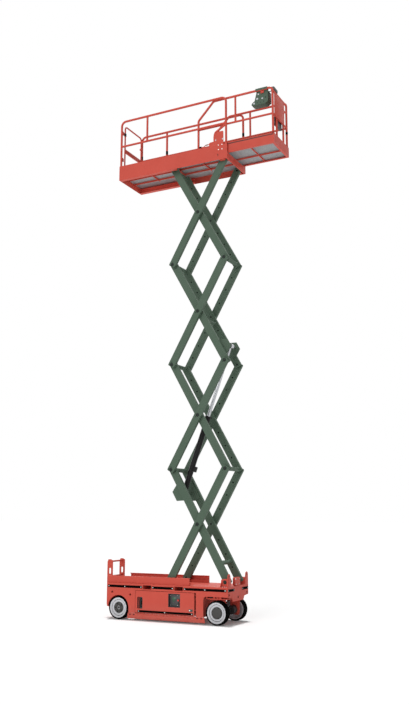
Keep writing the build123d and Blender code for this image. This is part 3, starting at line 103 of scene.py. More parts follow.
class NodeSheet:
    """A material's node tree, with short calls that add and join nodes."""

    def __init__(self, name: str) -> None:
        """Starts a material with one shader.

        Args:
            name: the material's name.
        """
        self.material = bpy.data.materials.new(name)
        self.material.use_nodes = True
        self.tree = self.material.node_tree
        self.tree.nodes.clear()
        self.shader = self.add("ShaderNodeBsdfPrincipled")
        output = self.add("ShaderNodeOutputMaterial")
        self.tree.links.new(self.shader.outputs["BSDF"], output.inputs["Surface"])
        self.place = self.add("ShaderNodeTexCoord").outputs["Object"]

    def add(self, kind: str, **values: object) -> bpy.types.Node:
        """Adds a node.

        Args:
            kind: the node's type.
            values: attributes to set on it.

        Returns:
            The new node.
        """
        node = self.tree.nodes.new(kind)
        for key, value in values.items():
            setattr(node, key, value)
        return node

    def join(self, source: bpy.types.NodeSocket, target: bpy.types.NodeSocket) -> None:
        """Joins an output to an input."""
        self.tree.links.new(source, target)

    def stretched(self, scale: Point) -> bpy.types.NodeSocket:
        """Object coordinates scaled differently along each axis.

        Args:
            scale: the factor along X, Y and Z.

        Returns:
            The vector socket.
        """
        mapping = self.add("ShaderNodeMapping")
        mapping.inputs["Scale"].default_value = scale
        self.join(self.place, mapping.inputs["Vector"])
        return mapping.outputs["Vector"]

    def noise(self, scale: float, detail: float = 4.0,
              place: Optional[bpy.types.NodeSocket] = None) -> bpy.types.NodeSocket:
        """Cloudy noise.

        Args:
            scale: features per metre.
            detail: how many finer layers it has.
            place: coordinates to read in place of the piece's own.

        Returns:
            The noise's value.
        """
        node = self.add("ShaderNodeTexNoise")
        node.inputs["Scale"].default_value = scale
        node.inputs["Detail"].default_value = detail
        self.join(place or self.place, node.inputs["Vector"])
        return node.outputs["Fac"]

    def cells(self, scale: float) -> bpy.types.NodeSocket:
        """Flat random cells.

        Args:
            scale: cells per metre.

        Returns:
            A colour that differs from cell to cell.
        """
        node = self.add("ShaderNodeTexVoronoi")
        node.inputs["Scale"].default_value = scale
        self.join(self.place, node.inputs["Vector"])
        return node.outputs["Color"]

    def remap(self, value: bpy.types.NodeSocket, source: Sequence[float],
              target: Sequence[float]) -> bpy.types.NodeSocket:
        """Maps one range of values onto another, clamped.

        Args:
            value: the value to map.
            source: its low and high end.
            target: what those ends become.

        Returns:
            The mapped value.
        """
        node = self.add("ShaderNodeMapRange")
        self.join(value, node.inputs["Value"])
        for name, number in zip(("From Min", "From Max", "To Min", "To Max"), (*source, *target)):
            node.inputs[name].default_value = number
        return node.outputs["Result"]

    def times(self, first: bpy.types.NodeSocket, second: bpy.types.NodeSocket) -> bpy.types.NodeSocket:
        """The product of two values."""
        node = self.add("ShaderNodeMath", operation="MULTIPLY")
        self.join(first, node.inputs[0])
        self.join(second, node.inputs[1])
        return node.outputs["Value"]

    def height(self) -> bpy.types.NodeSocket:
        """The height above the floor at rest."""
        node = self.add("ShaderNodeSeparateXYZ")
        self.join(self.place, node.inputs["Vector"])
        return node.outputs["Z"]

    def mix(self, share: bpy.types.NodeSocket, first: object, second: Colour) -> bpy.types.NodeSocket:
        """Mixes two colours.

        Args:
            share: how much of the second colour shows.
            first: a colour or a colour socket.
            second: the other colour.

        Returns:
            The mixed colour.
        """
        node = self.add("ShaderNodeMix", data_type="RGBA", clamp_result=True)
        self.join(share, node.inputs["Factor"])
        if isinstance(first, tuple):
            node.inputs["A"].default_value = (*first, 1.0)
        else:
            self.join(first, node.inputs["A"])
        node.inputs["B"].default_value = (*second, 1.0)
        return next(out for out in node.outputs if out.type == "RGBA")

    def colour(self, source: bpy.types.NodeSocket) -> None:
        """Gives the shader its colour."""
        self.join(source, self.shader.inputs["Base Color"])

    def roughness(self, source: bpy.types.NodeSocket) -> None:
        """Gives the shader its roughness."""
        self.join(source, self.shader.inputs["Roughness"])

    def bump(self, source: bpy.types.NodeSocket, strength: float, depth: float) -> None:
        """Raises the surface.

        Args:
            source: the height, from 0 to 1.
            strength: how strongly it shows.
            depth: the height of 1, in metres.
        """
        node = self.add("ShaderNodeBump")
        node.inputs["Strength"].default_value = strength
        node.inputs["Distance"].default_value = depth
        self.join(source, node.inputs["Height"])
        self.join(node.outputs["Normal"], self.shader.inputs["Normal"])


@dataclass(frozen=True)
class Paint:
    """Powder coat with faint clouding, scuffs, orange peel and dust near the floor."""

    name: str
    colour: Colour
    shade: Colour
    scuff: Colour
    dust_height: float = 0.0
    gloss: float = 0.42
    shine: float = 0.13
    dust: Colour = (0.30, 0.25, 0.21)

    def make(self) -> bpy.types.Material:
        """Returns the material."""
        sheet = NodeSheet(self.name)
        cloud = sheet.remap(sheet.noise(2.3, 5.0), (0.35, 0.7), (0.0, 0.55))
        tone = sheet.mix(cloud, self.colour, self.shade)
        fine = sheet.remap(sheet.noise(46.0, 8.0), (0.60, 0.78), (0.0, 0.34))
        tone = sheet.mix(fine, tone, self.scuff)
        if self.dust_height:
            low = sheet.remap(sheet.height(), (0.0, self.dust_height), (0.28, 0.0))
            share = sheet.times(low, sheet.noise(14.0, 6.0))
            tone = sheet.mix(share, tone, self.dust)
        sheet.colour(tone)
        worn = (self.gloss - 0.07, self.gloss + 0.1)
        sheet.roughness(sheet.remap(sheet.noise(9.0, 6.0), (0.3, 0.7), worn))
        sheet.bump(sheet.noise(620.0, 2.0), 0.10, 0.0005)
        sheet.shader.inputs["Specular IOR Level"].default_value = self.shine
        return sheet.material


@dataclass(frozen=True)
class SpangledPlate:
    """Galvanised sheet with spangles and dull patches."""

    name: str
    colour: Colour
    shade: Colour
    metal: float = 0.35

    def make(self) -> bpy.types.Material:
        """Returns the material."""
        sheet = NodeSheet(self.name)
        spangle = sheet.add("ShaderNodeSeparateColor")
        sheet.join(sheet.cells(75.0), spangle.inputs["Color"])
        share = sheet.remap(spangle.outputs["Red"], (0.0, 1.0), (0.0, 0.75))
        tone = sheet.mix(share, self.colour, self.shade)
        patch = sheet.remap(sheet.noise(5.0, 6.0), (0.45, 0.75), (0.0, 0.4))
        tone = sheet.mix(patch, tone, self.shade)
        sheet.colour(tone)
        sheet.roughness(sheet.remap(spangle.outputs["Green"], (0.0, 1.0), (0.42, 0.62)))
        sheet.bump(sheet.noise(260.0, 3.0), 0.12, 0.0006)
        sheet.shader.inputs["Metallic"].default_value = self.metal
        return sheet.material


@dataclass(frozen=True)
class Rubber:
    """Moulded rubber with a dusty bloom."""

    name: str
    colour: Colour
    bloom: Colour
    grain: float = 210.0
    shine: float = 0.01

    def make(self) -> bpy.types.Material:
        """Returns the material."""
        sheet = NodeSheet(self.name)
        bloom = sheet.remap(sheet.noise(17.0, 7.0), (0.45, 0.8), (0.0, 0.5))
        sheet.shader.inputs["Specular IOR Level"].default_value = self.shine
        sheet.colour(sheet.mix(bloom, self.colour, self.bloom))
        sheet.roughness(sheet.remap(sheet.noise(30.0, 4.0), (0.3, 0.7), (0.62, 0.85)))
        sheet.bump(sheet.noise(self.grain, 5.0), 0.25, 0.0008)
        return sheet.material


@dataclass(frozen=True)
class Steel:
    """Bare, oiled or plated steel with fine drawn lines."""

    name: str
    colour: Colour
    stain: Colour
    gloss: float = 0.34
    drawn: Point = (40.0, 900.0, 40.0)
    metal: float = 0.9

    def make(self) -> bpy.types.Material:
        """Returns the material."""
        sheet = NodeSheet(self.name)
        stain = sheet.remap(sheet.noise(24.0, 6.0), (0.48, 0.75), (0.0, 0.6))
        sheet.colour(sheet.mix(stain, self.colour, self.stain))
        lines = sheet.noise(1.0, 3.0, sheet.stretched(self.drawn))
        sheet.roughness(sheet.remap(lines, (0.3, 0.7), (self.gloss - 0.06, self.gloss + 0.12)))
        sheet.bump(lines, 0.06, 0.0003)
        sheet.shader.inputs["Metallic"].default_value = self.metal
        return sheet.material


@dataclass(frozen=True)
class Moulding:
    """Grained plastic."""

    name: str
    colour: Colour
    shade: Colour
    gloss: float = 0.46
    grain: float = 420.0

    def make(self) -> bpy.types.Material:
        """Returns the material."""
        sheet = NodeSheet(self.name)
        cloud = sheet.remap(sheet.noise(12.0, 5.0), (0.4, 0.75), (0.0, 0.5))
        sheet.colour(sheet.mix(cloud, self.colour, self.shade))
        worn = (self.gloss - 0.06, self.gloss + 0.08)
        sheet.roughness(sheet.remap(sheet.noise(40.0, 3.0), (0.3, 0.7), worn))
        sheet.bump(sheet.noise(self.grain, 3.0), 0.16, 0.0004)
        return sheet.material


@dataclass
class Finishes:
    """All the finishes of the machine, made once."""

    red: bpy.types.Material
    low_red: bpy.types.Material
    green: bpy.types.Material
    plate: bpy.types.Material
    tyre: bpy.types.Material
    strip: bpy.types.Material
    rim: bpy.types.Material
    hub: bpy.types.Material
    pin: bpy.types.Material
    zinc: bpy.types.Material
    chrome: bpy.types.Material
    black: bpy.types.Material
    casting: bpy.types.Material
    dark: bpy.types.Material
    stop: bpy.types.Material
    display: bpy.types.Material
    console: bpy.types.Material
    shade: bpy.types.Material

    @classmethod
    def mixed(cls) -> Finishes:
        """Returns the set with every material made."""
        red = dict(colour=(0.58, 0.086, 0.060), shade=(0.52, 0.072, 0.050), scuff=(0.60, 0.12, 0.09))
        return cls(
            red=Paint("red_powder_coat", **red).make(),
            low_red=Paint("red_powder_coat_dusty", dust_height=0.30, **red).make(),
            green=Paint("green_powder_coat", (0.084, 0.126, 0.090), (0.070, 0.108, 0.076),
                        (0.11, 0.15, 0.115), gloss=0.46).make(),
            plate=SpangledPlate("galvanised_plate", (0.34, 0.345, 0.35), (0.20, 0.205, 0.21)).make(),
            tyre=Rubber("solid_tyre", (0.0018, 0.0018, 0.0018), (0.0045, 0.0044, 0.0042)).make(),
            strip=Rubber("rubbing_strip", (0.0016, 0.0016, 0.0016), (0.004, 0.004, 0.004), 340.0).make(),
            rim=Paint("rim_paint", (0.60, 0.61, 0.64), (0.50, 0.51, 0.54), (0.68, 0.69, 0.70),
                      dust_height=0.2, gloss=0.36).make(),
            hub=Moulding("hub_casting", (0.036, 0.035, 0.033), (0.025, 0.024, 0.023), 0.6, 300.0).make(),
            pin=Steel("oiled_pin", (0.022, 0.028, 0.024), (0.012, 0.014, 0.012), 0.48).make(),
            zinc=Steel("zinc_screw", (0.62, 0.62, 0.60), (0.42, 0.42, 0.41), 0.30).make(),
            chrome=Steel("chromed_rod", (0.50, 0.51, 0.53), (0.42, 0.43, 0.45), 0.16,
                         (500.0, 500.0, 30.0)).make(),
            black=Paint("black_gloss", (0.014, 0.014, 0.014), (0.009, 0.009, 0.009), (0.04, 0.04, 0.04),
                        gloss=0.28).make(),
            casting=Moulding("black_casting", (0.020, 0.020, 0.020), (0.012, 0.012, 0.012),
                             0.55, 180.0).make(),
            dark=Moulding("dark_plastic", (0.040, 0.041, 0.042), (0.026, 0.027, 0.028)).make(),
            stop=Moulding("stop_red", (0.62, 0.022, 0.016), (0.48, 0.014, 0.011), 0.28, 700.0).make(),
            display=Moulding("display_green", (0.030, 0.105, 0.055), (0.018, 0.072, 0.036),
                             0.22, 900.0).make(),
            console=Moulding("console_green", (0.030, 0.066, 0.046), (0.020, 0.046, 0.031), 0.44).make(),
            # painted shade: a dark red for the sheets behind the guards and the shadow strips under the
            # toe-board lips
            shade=Moulding("dark_red_seal", (0.075, 0.012, 0.009), (0.05, 0.008, 0.006), 0.6).make(),
        )

    def for_slot(self, slot: str) -> bpy.types.Material:
        """The finish of a CAD node, by its material slot."""
        return {
            "body_red": self.red, "arm_green": self.green, "pin_steel": self.pin, "deck_plate": self.plate,
            "tyre": self.tyre, "rim_grey": self.rim, "black_rubber": self.strip, "cylinder_black": self.black,
            "chrome_rod": self.chrome, "motor_black": self.casting, "battery_case": self.dark,
            "panel_plastic": self.dark, "control_green": self.console,
        }[slot]


class Shape:
    """A mesh under construction, in metres, in the machine's frame."""

    def __init__(self) -> None:
        """Starts with nothing in it."""
        self.mesh = bmesh.new()

    def _take(self, part: bmesh.types.BMesh, place: Optional[Matrix] = None) -> Shape:
        """Moves a finished primitive into this shape.

        Args:
            part: the primitive, which is freed.
            place: where it goes.

        Returns:
            This shape.
        """
        if place is not None:
            bmesh.ops.transform(part, matrix=place, verts=part.verts)
        holder = bpy.data.meshes.new("holder")
        part.to_mesh(holder)
        part.free()
        self.mesh.from_mesh(holder)
        bpy.data.meshes.remove(holder)
        return self

    @staticmethod
    def _soften(part: bmesh.types.BMesh, width: float, segments: int = 2,
                edges: Optional[Iterable[bmesh.types.BMEdge]] = None) -> None:
        """Bevels edges of a primitive.

        Args:
            part: the primitive.
            width: the bevel's width.
            segments: how many faces round it.
            edges: the edges, or all that are sharp.
        """
        if width <= 0:
            return
        chosen = list(edges) if edges is not None else [
            edge for edge in part.edges if len(edge.link_faces) == 2 and edge.calc_face_angle() > SHARP_ANGLE]
        bmesh.ops.bevel(part, geom=chosen, offset=width, offset_type="OFFSET", segments=segments,
                        profile=0.5, affect="EDGES", material=-1)

    def block(self, low: Point, high: Point, soften: float = 0.0, place: Optional[Matrix] = None) -> Shape:
        """Adds a block between two corners.

        Args:
            low: the lowest corner.
            high: the highest corner.
            soften: the bevel's width.
            place: a further move.

        Returns:
            This shape.
        """
        part = bmesh.new()
        size = Vector(high) - Vector(low)
        middle = (Vector(high) + Vector(low)) / 2
        matrix = Matrix.Translation(middle) @ Matrix.Diagonal((abs(size.x), abs(size.y), abs(size.z), 1.0))
        bmesh.ops.create_cube(part, size=1.0, matrix=matrix)
        self._soften(part, soften)
        return self._take(part, place)

    def bar(self, start: Point, end: Point, radius: float, sides: int = 20, soften: float = 0.0,
            tip: Optional[float] = None) -> Shape:
        """Adds a round or many-sided bar.

        Args:
            start: the middle of its first end.
            end: the middle of its other end.
            radius: its radius.
            sides: how many sides it has.
            soften: the bevel's width at its ends.
            tip: the radius at its other end, if that differs.

        Returns:
            This shape.
        """
        part = bmesh.new()
        run = Vector(end) - Vector(start)
        turn = run.to_track_quat("Z", "Y").to_matrix().to_4x4()
        middle = (Vector(start) + Vector(end)) / 2
        bmesh.ops.create_cone(part, cap_ends=True, segments=sides, radius1=radius,
                              radius2=radius if tip is None else tip, depth=run.length)
        rims = [edge for edge in part.edges if any(len(face.verts) > 4 for face in edge.link_faces)]
        self._soften(part, soften, 2, rims)
        return self._take(part, Matrix.Translation(middle) @ turn)

    def turned(self, profile: Sequence[tuple[float, float]], centre: Point, axis: Vector,
               steps: int = 48) -> Shape:
        """Adds a turned piece.

        Args:
            profile: radius and place along the axis, as a closed outline or one that ends on the axis.
            centre: the place of 0 on the axis.
            axis: the axis.
            steps: how many steps go round it.

        Returns:
            This shape.
        """
        part = bmesh.new()
        verts = [part.verts.new((radius, 0.0, along)) for radius, along in profile]
        pairs = list(zip(verts, verts[1:]))
        if profile[0][0] > 0 and profile[-1][0] > 0:
            pairs.append((verts[-1], verts[0]))
        edges = [part.edges.new(pair) for pair in pairs]
        bmesh.ops.spin(part, geom=verts + edges, cent=(0, 0, 0), axis=(0, 0, 1), dvec=(0, 0, 0),
                       angle=math.tau, steps=steps, use_merge=True, use_duplicate=False)
        bmesh.ops.remove_doubles(part, verts=part.verts, dist=MERGE_DISTANCE)
        bmesh.ops.recalc_face_normals(part, faces=part.faces)
        turn = axis.to_track_quat("Z", "Y").to_matrix().to_4x4()
        return self._take(part, Matrix.Translation(centre) @ turn)

    def plate(self, outline: Sequence[tuple[float, float]], facing: Facing, near: float, far: float,
              soften: float = 0.0) -> Shape:
        """Adds a flat plate with an outline.

        Args:
            outline: its corners in the plane it faces.
            facing: that plane.
            near: where its first face lies.
            far: where its other face lies.
            soften: the bevel's width.

        Returns:
            This shape.
        """
        part = bmesh.new()
        across = facing is Facing.SIDE
        corners = [(a, near, b) if across else (near, a, b) for a, b in outline]
        push = (0, far - near, 0) if across else (far - near, 0, 0)
        face = part.faces.new([part.verts.new(corner) for corner in corners])
        made = bmesh.ops.extrude_face_region(part, geom=[face])
        moved = [item for item in made["geom"] if isinstance(item, bmesh.types.BMVert)]
        bmesh.ops.translate(part, vec=push, verts=moved)
        bmesh.ops.recalc_face_normals(part, faces=part.faces)
        self._soften(part, soften)
        return self._take(part)

    def screw(self, centre: Point, axis: Vector, radius: float, height: float, sides: int = 6) -> Shape:
        """Adds a screw head on a washer.

        Args:
            centre: where the washer lies on its surface.
            axis: the direction out of the surface.
            radius: the head's radius.
            height: the head's height.
            sides: 6 for a hexagon, more for a round head.

        Returns:
            This shape.
        """
        out = axis.normalized()
        base = Vector(centre)
        ring = base + out * height * 0.25
        self.bar(tuple(base), tuple(ring), radius * 1.35, 20)
        return self.bar(tuple(ring), tuple(base + out * height), radius, sides, height * 0.15)

    def bent(self, points: Sequence[Point], radius: float, bend: float, sides: int = 14,
             steps: int = 6) -> Shape:
        """Adds a round tube along straight runs with round bends.

        Args:
            points: the corners of its route.
            radius: the tube's radius.
            bend: the radius of each bend.
            sides: how many sides it has.
            steps: how many steps each bend has.

        Returns:
            This shape.
        """
        part = bmesh.new()
        spots = [Vector(point) for point in points]
        first = (spots[1] - spots[0]).normalized()
        turn = first.to_track_quat("Z", "Y").to_matrix().to_4x4()
        ring = bmesh.ops.create_circle(part, cap_ends=True, segments=sides, radius=radius,
                                       matrix=Matrix.Translation(spots[0]) @ turn)
        loop = list({edge for vert in ring["verts"] for edge in vert.link_edges})
        here = spots[0]
        for number in range(1, len(spots)):
            heading = (spots[number] - here).normalized()
            last = number == len(spots) - 1
            stop = spots[number]
            if not last:
                leaving = (spots[number + 1] - spots[number]).normalized()
                angle = heading.angle(leaving)
                stop = spots[number] - heading * bend * math.tan(angle / 2)
            made = bmesh.ops.extrude_edge_only(part, edges=loop)
            verts = [item for item in made["geom"] if isinstance(item, bmesh.types.BMVert)]
            loop = [item for item in made["geom"] if isinstance(item, bmesh.types.BMEdge)]
            bmesh.ops.translate(part, vec=stop - here, verts=verts)
            here = stop
            if not last:
                side = heading.cross(leaving).normalized()
                centre = stop + side.cross(heading) * bend
                made = bmesh.ops.spin(part, geom=loop + verts, cent=centre, axis=side, dvec=(0, 0, 0),
                                      angle=angle, steps=steps, use_merge=False, use_duplicate=False)
                loop = [item for item in made["geom_last"] if isinstance(item, bmesh.types.BMEdge)]
                here = spots[number] + leaving * bend * math.tan(angle / 2)
        bmesh.ops.contextual_create(part, geom=loop)
        bmesh.ops.remove_doubles(part, verts=part.verts, dist=MERGE_DISTANCE)
        bmesh.ops.recalc_face_normals(part, faces=part.faces)
        return self._take(part)

    def disc(self, centre: Point, axis: Vector, radius: float, height: float, flare: float = 0.0,
             steps: int = 24) -> Shape:
        """Adds a flat disc.

        Args:
            centre: the middle of its lower face.
            axis: the direction out of that face.
            radius: its radius there.
            height: its height.
            flare: how much wider its upper face is.
            steps: how many steps go round it.

        Returns:
            This shape.
        """
        profile = [(0.0, 0.0), (radius, 0.0), (radius + flare, height), (0.0, height)]
        return self.turned(profile, centre, axis, steps)

    def sleeve(self, foot: Point, inside: float, outside: float, tall: float, edge: float = 0.002) -> Shape:
        """Adds an upright sleeve with sloped edges round a post.

        Args:
            foot: the middle of its foot.
            inside: its inner radius.
            outside: its outer radius.
            tall: its height.
            edge: the height of each sloped edge.

        Returns:
            This shape.
        """
        profile = [(inside, tall), (outside, tall - edge), (outside, edge), (inside, 0.0)]
        return self.turned(profile, foot, Axis.Z.vector, 28)

    def weld(self, centre: Point, axis: Vector, radius: float, width: float = 0.0045) -> Shape:
        """Adds the weld bead round the end of a tube.

        Args:
            centre: the middle of the tube's end.
            axis: the direction along the tube.
            radius: the tube's radius.
            width: how far the bead stands out.

        Returns:
            This shape.
        """
        bead = radius + width
        profile = [(radius, -0.004), (bead, -0.004), (bead - 0.0015, 0.002), (radius, 0.005)]
        return self.turned(profile, centre, axis, 24)

    def tread(self, rear: float, length: float, floor: float, rows: int, pitch: float = 0.055,
              margin: float = 0.05) -> Shape:
        """Adds the raised bars of an anti-slip floor, each a quarter turn from its neighbours.

        Args:
            rear: the floor's rear edge.
            length: the length that the bars take up.
            floor: the floor's height.
            rows: how many bars lie side by side.
            pitch: the distance between bars.
            margin: the space left free at the rear.

        Returns:
            This shape.
        """
        low, high = (-0.016, -0.0035, -0.0005), (0.016, 0.0035, 0.0014)
        for column in range(int(length / pitch)):
            for row in range(rows):
                x = rear + margin + column * pitch
                y = (row - (rows - 1) / 2) * pitch
                turn = math.radians(45.0 if (row + column) % 2 else -45.0)
                place = Matrix.Translation((x, y, floor)) @ Matrix.Rotation(turn, 4, "Z")
                self.block(low, high, 0.0, place)
        return self

    def mirrored(self) -> Shape:
        """Adds the shape's mirror image on the machine's other side.

        Returns:
            This shape.
        """
        copy = self.mesh.copy()
        bmesh.ops.transform(copy, matrix=Matrix.Diagonal((1.0, -1.0, 1.0, 1.0)), verts=copy.verts)
        bmesh.ops.reverse_faces(copy, faces=copy.faces)
        return self._take(copy)

    def finish(self, name: str, body: str, slot: str, finish: bpy.types.Material,
               replaced: Sequence[str] = ()) -> bpy.types.Object:
        """Makes the object and attaches it to its body.

        Args:
            name: the piece's name.
            body: the body that it moves with.
            slot: the record's slot that it takes its finish from; not used.
            finish: its material.
            replaced: CAD nodes that it stands for.

        Returns:
            The object.
        """
        bmesh.ops.recalc_face_normals(self.mesh, faces=self.mesh.faces)
        data = bpy.data.meshes.new(name)
        self.mesh.to_mesh(data)
        self.mesh.free()
        data.polygons.foreach_set("use_smooth", [True] * len(data.polygons))
        data.set_sharp_from_angle(angle=SHARP_ANGLE)
        data.materials.append(finish)
        piece = bpy.data.objects.new(name, data)
        bpy.context.scene.collection.objects.link(piece)
        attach(piece, body)
        if replaced:
            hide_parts(*replaced)
        LOG.info("%s on %s, %d faces", name, body, len(data.polygons))
        return piece


@dataclass
class Wheels:
    """Solid tyres on dished rims, with their lock rings, hubs and screws."""

    finishes: Finishes
    radius: float = 0.1905
    tyre_radius: float = 0.1904
    half_width: float = 0.0635
    rim_radius: float = 0.165
    middle: float = 0.3415
    axles: dict[str, float] = field(default_factory=lambda: {"front": 0.554, "rear": -1.296})
    bolt_circle: float = 0.0686
    cover_circle: float = 0.0784

    def build(self) -> None:
        """Makes all four wheels."""
        for end, x in self.axles.items():
            for hand in Hand:
                centre = (x, hand.value * self.middle, self.radius)
                self.wheel(f"{end}_{hand.label}", centre, Axis.Y.vector * hand.value, end == "front")

    def wheel(self, name: str, centre: Point, out: Vector, driven: bool) -> None:
        """Makes one wheel.

        Args:
            name: its end and hand.
            centre: its centre.
            out: the direction away from the machine.
            driven: whether it has a hub motor.
        """
        top, wide, rim = self.tyre_radius, self.half_width, self.rim_radius
        side = [(rim, wide - 0.003), (rim + 0.004, wide - 0.0015), (rim + 0.009, wide - 0.0005),
                (top - 0.012, wide - 0.001), (top - 0.006, wide - 0.0045), (top - 0.0025, wide - 0.009),
                (top - 0.0006, wide - 0.015), (top, wide - 0.022)]
        groove = [(top, 0.013), (top - 0.003, 0.011), (top - 0.003, 0.007), (top, 0.005)]
        half = side + groove
        profile = half + [(radius, -along) for radius, along in reversed(half)]
        tyre = Shape().turned(profile, centre, out, 72)
        tyre.finish(f"{name}_tyre_moulded", f"{name}_wheel", "tyre", self.finishes.tyre, [f"{name}_tyre"])
        face = [(0.0, 0.034), (0.096, 0.034), (0.100, 0.040), (0.116, 0.043), (0.1245, 0.043), (0.126, 0.040),
                (0.127, 0.026), (0.132, 0.026), (0.1335, 0.046), (0.140, 0.050), (0.149, 0.0575),
                (0.158, 0.0585), (0.163, 0.0575), (rim - 0.0004, 0.056)]
        back = [(rim - 0.0004, -0.057), (0.158, -0.0585), (0.150, -0.056), (0.147, -0.010), (0.120, -0.002),
                (0.040, -0.001), (0.038, -0.012), (0.028, -0.012), (0.028, 0.004), (0.0, 0.004)]
        dish = Shape().turned(face + back, centre, out, 72)
        dish.finish(f"{name}_rim_dished", f"{name}_wheel", "rim_grey", self.finishes.rim, [f"{name}_rim"])
        lock = [(0.1272, 0.0262), (0.1318, 0.0262), (0.1318, 0.032), (0.1272, 0.032)]
        ring = Shape().turned(lock, centre, out, 72)
        ring.finish(f"{name}_lock_ring", f"{name}_wheel", "motor_black", self.finishes.casting)
        self.hub(name, Vector(centre), out, driven)

    def hub(self, name: str, centre: Vector, out: Vector, driven: bool) -> None:
        """Makes the dark hub on a wheel's face.

        Args:
            name: the wheel's end and hand.
            centre: the wheel's centre.
            out: the direction away from the machine.
            driven: whether it is the plain cover of a hub motor.
        """
        cover = [(0.0, 0.0555), (0.070, 0.0555), (0.080, 0.054), (0.088, 0.050), (0.092, 0.044),
                 (0.093, 0.033), (0.0, 0.033)]
        flange = [(0.0, 0.052), (0.014, 0.052), (0.017, 0.046), (0.018, 0.030), (0.030, 0.030),
                  (0.032, 0.050), (0.050, 0.052), (0.055, 0.047), (0.084, 0.046), (0.090, 0.042),
                  (0.092, 0.033), (0.0, 0.026)]
        hub = Shape().turned(cover if driven else flange, tuple(centre), out, 64)
        hub.finish(f"{name}_hub", f"{name}_wheel", "motor_black", self.finishes.hub)
        screws = Shape()
        count, circle, lift = (8, self.cover_circle, 0.0535) if driven else (5, self.bolt_circle, 0.0462)
        head, height = (0.0055, 0.004) if driven else (0.009, 0.010)
        for number in range(count):
            turn = math.tau * (number + 0.5) / count
            spot = centre + Vector((math.cos(turn), 0.0, math.sin(turn))) * circle + out * lift
            screws.screw(tuple(spot), out, head, height)
        screws.finish(f"{name}_hub_screws", f"{name}_wheel", "pin_steel", self.finishes.pin)


